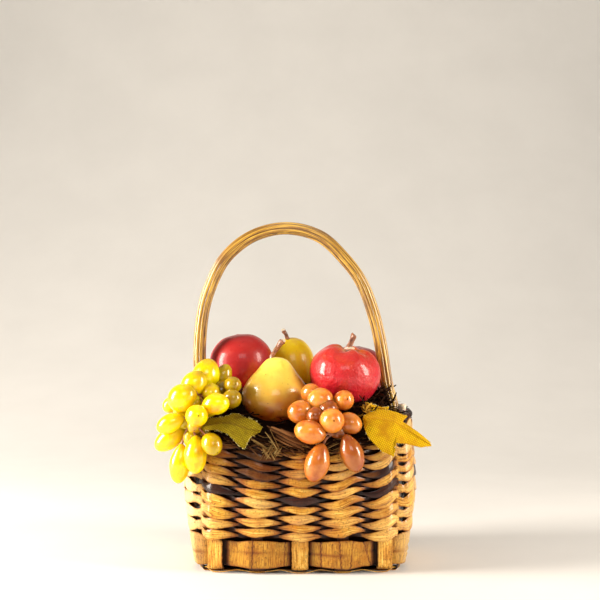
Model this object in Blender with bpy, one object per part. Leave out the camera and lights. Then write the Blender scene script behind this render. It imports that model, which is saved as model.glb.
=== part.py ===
"""A small woven splint basket with a tall arched handle, filled with artificial fruit.

Metres, +Z up. The basket stands on z = 0, its front faces -Y, and the origin is under the middle of its base.
"""

import math
import random

import bmesh
import bpy
from mathutils import Matrix, Vector

MM = 0.001
UP = Vector((0, 0, 1))
# Free space between neighbouring pieces.
GAP = 0.3 * MM

# The wall's middle surface: a rounded rectangle whose half width and half depth swell from base to middle.
BASE_HALF_WIDTH = 35.2 * MM
BASE_HALF_DEPTH = 22.8 * MM
MIDDLE_HALF_WIDTH = 39.4 * MM
MIDDLE_HALF_DEPTH = 25.6 * MM
RIM_HALF_WIDTH = 38.2 * MM
RIM_HALF_DEPTH = 24.6 * MM
MIDDLE_HEIGHT = 26 * MM
RIM_HEIGHT = 46 * MM
# The power of the rounded rectangle: higher is squarer.
BASE_SQUARENESS = 5.0
WALL_SQUARENESS = 3.2
# The weave sags in the middle: from the middle height up, it lies this much higher at both ends of the basket.
END_RISE = 7.6 * MM

# Splints, which cross under the base and turn up as the wall's stakes.
FRONT_STAKES = tuple(x * MM for x in (-29, -14.5, 0, 14.5, 29))
SIDE_STAKES = tuple(y * MM for y in (-15.4, 0, 15.4))
SPLINT_WIDTH = 5.6 * MM
STAKE_WIDTH = 3.6 * MM
SPLINT_THICKNESS = 0.6 * MM
LOW_LEVEL = SPLINT_THICKNESS / 2
HIGH_LEVEL = LOW_LEVEL + SPLINT_THICKNESS + GAP
BEND_RADIUS = 1.6 * MM
BEND_HEIGHT = HIGH_LEVEL + BEND_RADIUS
# Heights of a stake's sections between the rim and the bend, and the angles of its sections in the bend.
STAKE_HEIGHTS = tuple(z * MM for z in (36, 26, 12.6, 11, 6))
BEND_ANGLES = (35, 65, 90)

# The wide band woven round the foot of the wall.
BAND_LOW = 2.4 * MM
BAND_HIGH = 11.0 * MM
BAND_THICKNESS = 0.7 * MM
BAND_OFFSET = 1.55 * MM

# The narrow rows above it.
ROWS = 20
FIRST_ROW = 13.0 * MM
ROW_PITCH = 1.55 * MM
ROW_HEIGHT = 2.8 * MM
ROW_END_HEIGHT = 0.7 * MM
ROW_THICKNESS = 0.5 * MM
ROW_OFFSET = 1.75 * MM
# The outer passes lie a little further from the stakes than the inner ones, as they bend round the corners.
ROW_SHIFT = 0.15 * MM
DARK_ROW = 8

RIM_BAND_HEIGHT = 2.2 * MM
RIM_BAND_THICKNESS = 3.0 * MM

# The handle's middle line in the plane y = 0, as (x, z), from its left foot over the top to its right foot.
HANDLE_ROUTE = (
    (-33.7, 20), (-33.7, 36), (-33.9, 52), (-36.1, 70), (-35.2, 86.5), (-32.2, 98), (-26.6, 108.4),
    (-17, 116), (-5, 118.8), (7, 115.9), (16, 107.8), (22.2, 99.2), (26.3, 88.5), (29, 77),
    (31.2, 63), (33.3, 53.5), (33.7, 36), (33.7, 20),
)
HANDLE_RADIUS = 2.35 * MM
HANDLE_GROOVE = 0.2 * MM
HANDLE_STRANDS = 5
HANDLE_STEPS = 32

# Fruit outlines as (radius, height) in millimetres, from the lower pole to the upper one.
PEAR_OUTLINE = ((0, 0.4), (6, 0.2), (10.3, 3.4), (11.8, 8.6), (10.2, 14), (6.8, 19.2), (4.6, 22.3), (0, 23.4))
SMALL_PEAR_OUTLINE = ((0, 0.3), (5.2, 0.4), (8.3, 4), (8.6, 9), (7.7, 14.5), (5, 18.6), (2, 20.2), (0, 20.4))
LOBED_OUTLINE = (
    (0, -8.4), (4, -9.8), (9.6, -7.2), (12.4, -1), (11.6, 5), (8, 8.9), (4.2, 9.7), (1.6, 8.6), (0, 7.6),
)
ROUND_OUTLINE = ((0, -10.9), (6.4, -9.2), (10.6, -4.4), (11.4, 0.6), (10, 5.8), (5.8, 10), (0, 11.2))

# Stalks as points in millimetres, and a radius at each.
STALKS = {
    "pear_front_stem": (
        ((-9.9, -9.4, 73.4), (-9, -9.4, 74.8), (-7.6, -9.4, 76.6), (-6.0, -9.4, 78.4)), (0.7, 0.6, 0.7, 1.1),
    ),
    "pear_back_stem": (((-4.7, 13.2, 79.4), (-5.4, 13.2, 80.6), (-6.3, 13.2, 82.4)), (0.7, 0.7, 0.8)),
    "red_fruit_right_stem": (
        ((17.3, -8, 75.5), (17.6, -8, 77), (18.4, -8, 79), (19.2, -8, 80.6)), (1.1, 0.8, 0.7, 0.9),
    ),
}

# Grapes as (x, y, z), half width, half length in millimetres, and the direction of the long axis.
YELLOW_GRAPES = (
    ((-32.8, -13, 66.6), 4.9, 6.2, (0.35, 0.1, 1)),
    ((-36.4, -18, 63.9), 4.4, 5.3, (0.7, -0.2, 1)),
    ((-40.0, -22, 59.7), 4.8, 5.4, (0.8, -0.4, 0.6)),
    ((-44.0, -17, 57.0), 2.9, 3.6, (1, 0.2, 0.5)),
    ((-34.5, -29, 54.3), 3.8, 4.6, (0.2, -1, 0.1)),
    ((-28.4, -26, 58.0), 3.7, 4.8, (1, -0.2, 0.15)),
    ((-23.3, -21.5, 59.3), 3.3, 4.0, (0.6, -1, 0.2)),
    ((-26.8, -11, 66.5), 2.9, 4.3, (0.3, 0.2, 1)),
    ((-23.2, -18, 63.7), 3.0, 3.6, (0.4, -1, 0.2)),
    ((-44.3, -23, 50.7), 3.8, 5.0, (1, -0.1, 0.25)),
    ((-45.0, -19, 44.4), 4.1, 6.3, (0.9, 0, -0.75)),
    ((-40.8, -22.5, 37.5), 3.6, 6.9, (0.1, -0.05, 1)),
    ((-35.2, -26, 41.0), 3.9, 6.5, (0.15, -0.1, -1)),
    ((-29.5, -28.5, 44.9), 3.5, 4.3, (-0.5, -0.6, 0.6)),
)
YELLOW_STEM_FORK = (-37.2, -25, 51.5)
YELLOW_STEM_ROOT = (-25.5, -12, 56.0)
YELLOW_HANGING = (9, 10, 11, 12, 13)
YELLOW_HUB = ((-34.5, -20.5, 60.0), (6.5, 4.5, 5.5))
ORANGE_GRAPES = (
    ((6.8, -23.5, 59.1), 4.2, 4.7, (1, -0.2, 0.2)),
    ((3.6, -20.5, 61.3), 3.2, 3.6, (0.6, -0.6, 0.4)),
    ((14.8, -23.5, 59.0), 3.5, 4.0, (0.3, -1, 0.2)),
    ((0.2, -25, 55.2), 4.0, 4.6, (1, -0.4, -0.2)),
    ((10.6, -31, 52.9), 4.2, 4.9, (0.1, -1, 0.1)),
    ((16.6, -28, 51.8), 3.6, 4.6, (0.7, -0.6, 0.3)),
    ((3.4, -31.8, 49.2), 4.0, 5.4, (1, -0.1, -0.25)),
    ((5.8, -32.4, 39.2), 4.2, 6.6, (-0.3, 0.05, -1)),
    ((17.1, -31.8, 42.3), 3.9, 6.6, (0.3, 0.05, -1)),
)
ORANGE_STEM_FORK = (10.4, -31, 48.2)
ORANGE_STEM_ROOT = (7.0, -17.5, 53.0)
ORANGE_HANGING = (4, 6, 7, 8)
ORANGE_HUB = ((8.6, -26, 56.0), (6.5, 4.0, 4.2))
GRAPE_SIDES = 9
GRAPE_RINGS = 5
# With few sides, the flats of a grape lie inside its true outline by this share.
GRAPE_FLATS = 1.05
GRAPE_STEM_RADIUS = 0.6 * MM

# Leaves as stations from stem to tip: points on the lower edge, the midrib and the upper edge, in millimetres.
LEFT_LEAF = (
    ((-30.8, -25.2, 50.9), (-30.6, -24.6, 52.0), (-30.2, -23.8, 53.0)),
    ((-27.5, -28.6, 49.4), (-27, -27.4, 51.6), (-26, -25.6, 53.6)),
    ((-24.2, -30, 48.3), (-23.6, -28.4, 51.8), (-22.2, -25.4, 54.4)),
    ((-21, -31, 45.7), (-20.4, -29.2, 51.0), (-19.2, -26.2, 53.8)),
    ((-18.4, -31, 43.8), (-17.6, -29.4, 50.0), (-16.4, -26.8, 53.2)),
    ((-16.4, -31, 47.4), (-15.4, -29.6, 49.8), (-14.4, -27.6, 52.2)),
    ((-13.4, -29.8, 48.8), (-13, -29.2, 49.5), (-12.6, -28.4, 50.4)),
)
RIGHT_LEAF = (
    ((21.2, -26.6, 52.2), (21.2, -26.0, 53.2), (21.4, -25.2, 54.0)),
    ((21.9, -30, 48.9), (22.4, -27.6, 53.4), (23.6, -24, 55.2)),
    ((23.2, -31, 46.6), (25, -27.8, 53.4), (26.4, -23.4, 55.6)),
    ((27.2, -31, 42.4), (28.4, -27.6, 52.8), (29.4, -22.8, 55.2)),
    ((31.3, -30, 40.9), (31.8, -26.8, 52.2), (32.8, -22, 54.6)),
    ((31.9, -28.6, 45.7), (34.3, -26, 51.4), (35.6, -21, 54.0)),
    ((37.0, -26.8, 44.3), (37.4, -25.2, 49.8), (38.2, -22, 52.4)),
    ((42.2, -24.4, 43.0), (41, -24, 47.4), (41, -22.4, 49.6)),
    ((44.6, -23.2, 43.3), (44.4, -22.8, 43.9), (44.2, -22.4, 44.5)),
)
SMALL_LEAF = (
    ((20.4, -20.6, 56.6), (20.8, -20.2, 57.2), (21.2, -19.6, 57.8)),
    ((23.4, -20.2, 56.4), (23.8, -19.2, 57.8), (24.2, -17.8, 58.6)),
    ((27.4, -19.6, 56.2), (27.8, -18.8, 57.4), (28.2, -17.6, 58.2)),
    ((31.6, -18.6, 55.4), (31.8, -18.2, 56.0), (32, -17.6, 56.6)),
)
LEAF_THICKNESS = 0.45 * MM
LEAF_WAVE = Vector((0, -0.5, 0.3)) * MM
LEAF_WAVE_STEP = 1.9

FILLING_SIDES = 24
# The filling's sections inside the wall, as a height and how much further in it lies, and its rings on the
# mound, as shares of the way from its middle to the rim.
FILLING_LEVELS = ((2 * MM, 2.4 * MM), (6 * MM, 0.3 * MM), (14 * MM, 0), (26 * MM, 0), (38 * MM, 0))
MOUND_RINGS = (1, 0.86, 0.66, 0.42, 0.18)
MOUND_BUMPS = 0.6 * MM
# How much larger than a fruit its hollow in the moss is, and the free space round the handle.
HOLLOW_GROWTH = 1.06
HANDLE_CLEARANCE = 0.45 * MM
# The top of the moss under the fruit, and how squarely the mound falls off towards the front and the back rim.
MOUND_TOP = 62.5 * MM
FRONT_FALL = 2.0
BACK_FALL = 3.5


def clear_scene():
    for obj in list(bpy.data.objects):
        bpy.data.objects.remove(obj, do_unlink=True)


def linear(channel):
    return channel / 12.92 if channel <= 0.04045 else ((channel + 0.055) / 1.055) ** 2.4


def material(name, colour, roughness):
    """A plain finish: colour is an sRGB hex value."""
    made = bpy.data.materials.new(name)
    made.use_nodes = True
    channels = [linear(((colour >> shift) & 255) / 255) for shift in (16, 8, 0)]
    shader = made.node_tree.nodes["Principled BSDF"]
    shader.inputs["Base Color"].default_value = (*channels, 1)
    shader.inputs["Roughness"].default_value = roughness
    shader.inputs["Metallic"].default_value = 0
    return made


def place(name, mesh_or_bmesh, finish, smooth=False):
    """Puts a mesh in the scene as a named object."""
    mesh = mesh_or_bmesh
    if isinstance(mesh_or_bmesh, bmesh.types.BMesh):
        mesh = bpy.data.meshes.new(name)
        bmesh.ops.recalc_face_normals(mesh_or_bmesh, faces=mesh_or_bmesh.faces)
        mesh_or_bmesh.to_mesh(mesh)
        mesh_or_bmesh.free()
    if finish:
        mesh.materials.append(finish)
    if smooth:
        mesh.shade_smooth()
        mesh.set_sharp_from_angle(angle=math.radians(50))
    obj = bpy.data.objects.new(name, mesh)
    bpy.context.scene.collection.objects.link(obj)
    return obj


def sweep(sections, ring=False):
    """A body through equal sections: closed into a ring, or capped at both ends."""
    body = bmesh.new()
    loops = [[body.verts.new(point) for point in section] for section in sections]
    sides = len(loops[0])
    pairs = list(zip(loops, loops[1:]))
    if ring:
        pairs.append((loops[-1], loops[0]))
    else:
        body.faces.new(loops[0])
        body.faces.new(loops[-1])
    for first, second in pairs:
        for i in range(sides):
            j = (i + 1) % sides
            body.faces.new((first[i], first[j], second[j], second[i]))
    return body


def smooth_route(points, count):
    """Points spread evenly along a Catmull-Rom curve through the given ones."""
    knots = [2 * points[0] - points[1], *points, 2 * points[-1] - points[-2]]
    spans = len(points) - 1
    route = []
    for step in range(count):
        where = step * spans / (count - 1)
        span = min(int(where), spans - 1)
        t = where - span
        a, b, c, d = knots[span : span + 4]
        curve = (2 * a - 5 * b + 4 * c - d) * t**2 + (3 * b - a - 3 * c + d) * t**3
        route.append(0.5 * (2 * b + (c - a) * t + curve))
    return route


# The wall


def blend(start, end, amount):
    return start + (end - start) * amount


def wall_shape(z):
    """Half width, half depth and squareness of the wall's middle surface at a height."""
    if z < MIDDLE_HEIGHT:
        amount = (z / MIDDLE_HEIGHT) ** 2 * (3 - 2 * z / MIDDLE_HEIGHT)
        square = blend(BASE_SQUARENESS, WALL_SQUARENESS, amount)
        half_width = blend(BASE_HALF_WIDTH, MIDDLE_HALF_WIDTH, amount)
        return half_width, blend(BASE_HALF_DEPTH, MIDDLE_HALF_DEPTH, amount), square
    amount = min(1, ((z - MIDDLE_HEIGHT) / (RIM_HEIGHT - MIDDLE_HEIGHT)) ** 2)
    half_width = blend(MIDDLE_HALF_WIDTH, RIM_HALF_WIDTH, amount)
    return half_width, blend(MIDDLE_HALF_DEPTH, RIM_HALF_DEPTH, amount), WALL_SQUARENESS


def other_side(known, half, other_half, square):
    """The rounded rectangle's other coordinate, where one is known."""
    return other_half * (1 - (abs(known) / half) ** square) ** (1 / square)


def stake_angles(z):
    """The stakes' directions from the middle at a height, from the front's left stake once round the basket."""
    width, depth, square = wall_shape(z)
    front = [math.atan2(-other_side(x, width, depth, square), x) for x in FRONT_STAKES]
    side = [math.atan2(y, other_side(y, depth, width, square)) for y in SIDE_STAKES]
    half = front + side
    return half + [angle + math.pi for angle in half] + [front[0] + 2 * math.pi]


STAKES = 2 * (len(FRONT_STAKES) + len(SIDE_STAKES))


def wall_point(u, z, offset=0.0):
    """A point of the wall and its outward direction. u counts stakes from the front's left one."""
    angles = stake_angles(z)
    stake = int(u) % STAKES
    angle = blend(angles[stake], angles[stake + 1], u - int(u))
    width, depth, square = wall_shape(z)
    c, s = math.cos(angle), math.sin(angle)
    reach = ((abs(c) / width) ** square + (abs(s) / depth) ** square) ** (-1 / square)
    x, y = reach * c, reach * s
    slope_x = math.copysign((abs(x) / width) ** (square - 1) / width, x)
    slope_y = math.copysign((abs(y) / depth) ** (square - 1) / depth, y)
    outward = Vector((slope_x, slope_y, 0)).normalized()
    return Vector((x, y, z)) + outward * offset, outward


def end_lift(u, z):
    """How much the weave has climbed above its height at the middle of the front."""
    width, _, _ = wall_shape(z)
    point, _ = wall_point(u, z)
    amount = min(1, max(0, (z - BAND_HIGH) / (MIDDLE_HEIGHT - BAND_HIGH)))
    return END_RISE * amount * (abs(point.x) / width) ** 2


def round_stations():
    """Where the sections of a woven ring lie: at each stake and halfway between two."""
    return [half / 2 for half in range(2 * STAKES)]


def wall_section(u, low, high, offset, thickness):
    inner, outer = offset - thickness / 2, offset + thickness / 2
    return [wall_point(u, z, side)[0] for z, side in ((low, inner), (high, inner), (high, outer), (low, outer))]


def woven_row(name, row, finish):
    """One splint woven round the stakes: tall where it passes one, and narrow where it dives between two."""
    middle = FIRST_ROW + row * ROW_PITCH
    sections = []
    for u in round_stations():
        wave = math.cos(math.pi * (u + row))
        half = blend(ROW_END_HEIGHT, ROW_HEIGHT, 1 - 2 * abs(u - round(u))) / 2
        z = middle + end_lift(u, middle)
        sections.append(wall_section(u, z - half, z + half, ROW_OFFSET * wave + ROW_SHIFT, ROW_THICKNESS))
    return place(name, sweep(sections, ring=True), finish)


def base_band(finish):
    """The wide band: inside the even stakes, outside the odd ones, and straight across each stake."""
    sections = []
    for stake in range(STAKES):
        offset = -BAND_OFFSET if stake % 2 == 0 else BAND_OFFSET
        here = wall_point(stake, BAND_HIGH)[0]
        before, after = ((wall_point((stake + step) % STAKES, BAND_HIGH)[0] - here).length for step in (-1, 1))
        half = SPLINT_WIDTH / 2 + GAP
        for u in (stake - half / before, stake, stake + half / after):
            sections.append(wall_section(u % STAKES, BAND_LOW, BAND_HIGH, offset, BAND_THICKNESS))
    return place("base_band", sweep(sections, ring=True), finish)


def rim_low(u):
    """The underside of the rim."""
    top_row = FIRST_ROW + (ROWS - 1) * ROW_PITCH
    return top_row + ROW_HEIGHT / 2 + GAP + end_lift(u, top_row)


def rim(finish):
    sections = []
    for u in round_stations():
        low = rim_low(u)
        sections.append(wall_section(u, low, low + RIM_BAND_HEIGHT, 0, RIM_BAND_THICKNESS))
    return place("rim", sweep(sections, ring=True), finish)


# The splints


def flat_section(middle, across, facing, width):
    half_width, half_thickness = across * width / 2, facing * SPLINT_THICKNESS / 2
    return [
        middle - half_width - half_thickness, middle + half_width - half_thickness,
        middle + half_width + half_thickness, middle - half_width + half_thickness,
    ]


def stake_sections(stake):
    """Sections of one stake, from under the rim down to where it bends under the base."""
    top = min(rim_low((stake + side) % STAKES) for side in (-0.2, 0.2)) - 2 * GAP
    sections = []
    for height in (top, *STAKE_HEIGHTS, BEND_HEIGHT):
        point, outward = wall_point(stake, height)
        width = STAKE_WIDTH if height > BAND_HIGH else SPLINT_WIDTH
        sections.append(flat_section(point, UP.cross(outward), outward, width))
    return sections


def bend_sections(stake, foot, level, way, line, along):
    """Sections of the bend under the base. way is 1 at the splint's first end and -1 at its last."""
    across = along.cross(UP)
    wall_facing = wall_point(stake, BEND_HEIGHT)[1]
    sections = []
    for turn in BEND_ANGLES:
        cosine, sine = math.cos(math.radians(turn)), math.sin(math.radians(turn))
        spot = foot.dot(along) + way * BEND_RADIUS * (1 - cosine)
        middle = line + along * spot + UP * (BEND_HEIGHT - (BEND_HEIGHT - level) * sine)
        # The stake lies flat on the wall, and turns square to the base as it bends under.
        sideways = blend(UP.cross(wall_facing) * way, across, turn / 90).normalized()
        facing = -way * along * cosine - UP * sine
        facing = (facing - sideways * facing.dot(sideways)).normalized()
        sections.append(flat_section(middle, sideways * way, facing, SPLINT_WIDTH))
    return sections


def splint(name, stakes, along, crossings, levels, finish):
    """One splint: up the wall as a stake at both ends and woven across the base between them.

    stakes are the numbers of its first and last stake, and along is the direction from the first to the last.
    crossings are the places along it where it crosses other splints, at the given levels.
    """
    across = along.cross(UP)
    feet = [wall_point(stake, BEND_HEIGHT)[0] for stake in stakes]
    line = across * feet[0].dot(across)
    ends = zip(stakes, feet, (levels[0], levels[-1]), (1, -1))
    near, far = (bend_sections(*end, line, along) for end in ends)
    base = []
    for crossing, height in zip(crossings, levels):
        for edge in (-1, 1):
            spot = crossing + edge * (SPLINT_WIDTH / 2 + GAP)
            base.append(flat_section(line + along * spot + UP * height, across, -UP, SPLINT_WIDTH))
    # Seen along the splint, the far stake's sections run the other way round.
    far_end = [[b, a, d, c] for a, b, c, d in far[::-1] + stake_sections(stakes[1])[::-1]]
    return place(name, sweep(stake_sections(stakes[0]) + near + base + far_end), finish)


def splints(finish):
    for i, x in enumerate(FRONT_STAKES):
        levels = [HIGH_LEVEL if (i + j) % 2 == 0 else LOW_LEVEL for j in range(len(SIDE_STAKES))]
        opposite = STAKES // 2 + len(FRONT_STAKES) - 1 - i
        splint(f"splint_front_back_{i + 1}", (i, opposite), Vector((0, 1, 0)), SIDE_STAKES, levels, finish)
    for j, y in enumerate(SIDE_STAKES):
        levels = [LOW_LEVEL if (i + j) % 2 == 0 else HIGH_LEVEL for i in range(len(FRONT_STAKES))]
        right = len(FRONT_STAKES) + j
        left = STAKES - 1 - j
        splint(f"splint_left_right_{j + 1}", (left, right), Vector((1, 0, 0)), FRONT_STAKES, levels, finish)


# The handle


def handle_sections(extra=0.0):
    """A bundle of strands: a round section with grooves between them. extra makes it thicker and longer."""
    route = smooth_route([Vector((x * MM, 0, z * MM)) for x, z in HANDLE_ROUTE], HANDLE_STEPS)
    for foot in (route[0], route[-1]):
        foot.z -= extra
    sections = []
    for i, point in enumerate(route):
        ahead = (route[min(i + 1, len(route) - 1)] - route[max(i - 1, 0)]).normalized()
        level = Vector((0, 1, 0))
        out = ahead.cross(level).normalized()
        section = []
        for corner in range(2 * HANDLE_STRANDS):
            angle = math.pi * corner / HANDLE_STRANDS
            radius = HANDLE_RADIUS + extra - (HANDLE_GROOVE if corner % 2 else 0)
            section.append(point + radius * (math.cos(angle) * level + math.sin(angle) * out))
        sections.append(section)
    return sections


# The fruit


def turned(outline, sides, steps, lobes=0.0, lobe_count=5):
    """A body turned about its own Z axis from an outline of (radius, height), with lobes near the top."""
    line = smooth_route([Vector((radius, height, 0)) for radius, height in outline], steps)
    highest = max(point.y for point in line)
    body = bmesh.new()
    bottom = body.verts.new((0, 0, line[0].y * MM))
    top = body.verts.new((0, 0, line[-1].y * MM))
    rings = []
    for point in line[1:-1]:
        ring = []
        for i in range(sides):
            angle = 2 * math.pi * i / sides
            swell = 1 + lobes * math.cos(lobe_count * angle) * max(0, point.y / highest)
            radius = max(point.x, 0.2) * MM
            spot = (radius * math.cos(angle), radius * math.sin(angle), point.y * swell * MM)
            ring.append(body.verts.new(spot))
        rings.append(ring)
    for i in range(sides):
        j = (i + 1) % sides
        body.faces.new((bottom, rings[0][j], rings[0][i]))
        body.faces.new((top, rings[-1][i], rings[-1][j]))
        for low, high in zip(rings, rings[1:]):
            body.faces.new((low[i], low[j], high[j], high[i]))
    return body


def fruit(name, outline, centre, lean, finish, sides=14, steps=11, **lobes):
    """A fruit at its place in millimetres, leaning by angles in degrees about X and Y."""
    obj = place(name, turned(outline, sides, steps, **lobes), finish, smooth=True)
    obj.location = Vector(centre) * MM
    obj.rotation_euler = (math.radians(lean[0]), math.radians(lean[1]), 0)
    return obj


def stem(name, points, radii, finish):
    """A short bent stalk through points in millimetres, with a radius at each."""
    line = [Vector(point) * MM for point in points]
    sections = []
    for i, point in enumerate(line):
        ahead = (line[min(i + 1, len(line) - 1)] - line[max(i - 1, 0)]).normalized()
        side = ahead.cross(Vector((0, 1, 0))).normalized()
        up = side.cross(ahead)
        angles = [math.tau * corner / 6 for corner in range(6)]
        sections.append([point + radii[i] * MM * (math.cos(a) * side + math.sin(a) * up) for a in angles])
    return place(name, sweep(sections), finish, smooth=True)


def ellipsoid(centre, half_width, half_length, direction, sides=GRAPE_SIDES, rings=GRAPE_RINGS):
    body = bmesh.new()
    bmesh.ops.create_uvsphere(body, u_segments=sides, v_segments=rings, radius=1)
    turn = Vector((0, 0, 1)).rotation_difference(Vector(direction).normalized()).to_matrix().to_4x4()
    size = Matrix.Diagonal((half_width, half_width, half_length, 1 / (GRAPE_FLATS * MM))) * GRAPE_FLATS * MM
    body.transform(Matrix.Translation(Vector(centre) * MM) @ turn @ size)
    return body


def stalk(start, end):
    """A thin stalk between two points in millimetres."""
    first, last = Vector(start) * MM, Vector(end) * MM
    ahead = (last - first).normalized()
    side = ahead.cross(Vector((0, 1, 0.1))).normalized()
    up = side.cross(ahead)
    corners = [math.tau * corner / 5 for corner in range(5)]
    ring = [GRAPE_STEM_RADIUS * (math.cos(a) * side + math.sin(a) * up) for a in corners]
    return sweep([[point + reach for reach in ring] for point in (first, last)])


def bunch(name, grapes, hub, fork, root, hanging, finish):
    """Grapes fused on a hidden hub, which a stalk holds in the moss. The lower ones hang from a fork."""
    centre, half_sizes = hub
    body = bmesh.new()
    bmesh.ops.create_uvsphere(body, u_segments=10, v_segments=7, radius=1)
    size = Matrix.Diagonal((*(half * MM for half in half_sizes), 1))
    body.transform(Matrix.Translation(Vector(centre) * MM) @ size)
    obj = place(name, body, finish, smooth=True)
    pieces = bpy.data.collections.new(name + "_pieces")
    shapes = [ellipsoid(*grape) for grape in grapes]
    shapes += [stalk(centre, fork), stalk(centre, root)]
    shapes += [stalk(fork, grapes[i][0]) for i in hanging]
    for shape in shapes:
        piece = place(name + "_piece", shape, finish, smooth=True)
        bpy.context.scene.collection.objects.unlink(piece)
        pieces.objects.link(piece)
    join = obj.modifiers.new("join", "BOOLEAN")
    join.operation = "UNION"
    join.operand_type = "COLLECTION"
    join.collection = pieces
    bpy.context.view_layer.update()
    joined = bpy.data.meshes.new_from_object(obj.evaluated_get(bpy.context.evaluated_depsgraph_get()))
    obj.modifiers.clear()
    obj.data = joined
    for piece in list(pieces.objects):
        bpy.data.objects.remove(piece, do_unlink=True)
    bpy.data.collections.remove(pieces)
    return obj


# The leaves


def leaf(name, stations, finish):
    """A thin wavy leaf. Each station gets two more points, which lift the leaf's halves between its veins."""
    rows = []
    for i, (low, rib, high) in enumerate(stations):
        low, rib, high = (Vector(point) * MM for point in (low, rib, high))
        wave = LEAF_WAVE * math.sin(LEAF_WAVE_STEP * i)
        rows.append([low, (low + rib) / 2 + wave, rib, (rib + high) / 2 - wave, high])
    columns = len(rows[0])
    body = bmesh.new()
    front, back = [], []
    for i, row in enumerate(rows):
        ahead, behind = rows[min(i + 1, len(rows) - 1)], rows[max(i - 1, 0)]
        front.append([body.verts.new(point) for point in row])
        backs = []
        for j, point in enumerate(row):
            along = ahead[j] - behind[j]
            across = row[min(j + 1, columns - 1)] - row[max(j - 1, 0)]
            backs.append(body.verts.new(point - across.cross(along).normalized() * LEAF_THICKNESS))
        back.append(backs)
    for i in range(len(rows) - 1):
        for j in range(columns - 1):
            for side, turn in ((front, 1), (back, -1)):
                corners = (side[i][j], side[i + 1][j], side[i + 1][j + 1], side[i][j + 1])
                body.faces.new((corners[0], corners[1], corners[2])[::turn])
                body.faces.new((corners[0], corners[2], corners[3])[::turn])
    last = len(rows) - 1
    edge = [(0, j) for j in range(columns)] + [(i, columns - 1) for i in range(1, last)]
    edge += [(last, j) for j in reversed(range(columns))] + [(i, 0) for i in reversed(range(1, last))]
    for (a, b), (c, d) in zip(edge, edge[1:] + edge[:1]):
        body.faces.new((front[a][b], front[c][d], back[c][d]))
        body.faces.new((front[a][b], back[c][d], back[a][b]))
    return place(name, body, finish)


# The filling


def filling(cutters, finish):
    """Dark moss that fills the basket and mounds up under the fruit, hollowed where the fruit and handle sit."""
    rng = random.Random(7)
    stations = [STAKES * i / FILLING_SIDES for i in range(FILLING_SIDES)]
    inside = ROW_OFFSET + ROW_THICKNESS / 2 - ROW_SHIFT + 2 * GAP
    rings = [[wall_point(u, z, -inside - inset)[0] for u in stations] for z, inset in FILLING_LEVELS]
    edges = [wall_point(u, rim_low(u), -inside)[0] for u in stations]
    for reach in MOUND_RINGS:
        ring = []
        for edge in edges:
            bump = rng.uniform(-MOUND_BUMPS, MOUND_BUMPS) if reach < 1 else 0
            fall = blend(FRONT_FALL, BACK_FALL, (edge.y / MIDDLE_HALF_DEPTH + 1) / 2)
            height = blend(MOUND_TOP, edge.z, reach**fall) + bump
            ring.append(Vector((edge.x * reach, edge.y * reach, height)))
        rings.append(ring)
    obj = place("filling", sweep(rings), finish)
    cut = obj.modifiers.new("hollows", "BOOLEAN")
    cut.operation = "DIFFERENCE"
    cut.operand_type = "COLLECTION"
    cut.collection = cutters
    return obj


def cutter(collection, source, growth):
    """A copy of a piece grown about its middle, which hollows the filling."""
    obj = bpy.data.objects.new("cutter_" + source.name, source.data)
    middle = sum((Vector(corner) for corner in source.bound_box), Vector()) / 8
    grown = Matrix.Translation(middle) @ Matrix.Scale(growth, 4) @ Matrix.Translation(-middle)
    obj.matrix_world = source.matrix_world @ grown
    collection.objects.link(obj)
    obj.hide_render = True
    obj.display_type = "WIRE"


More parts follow.
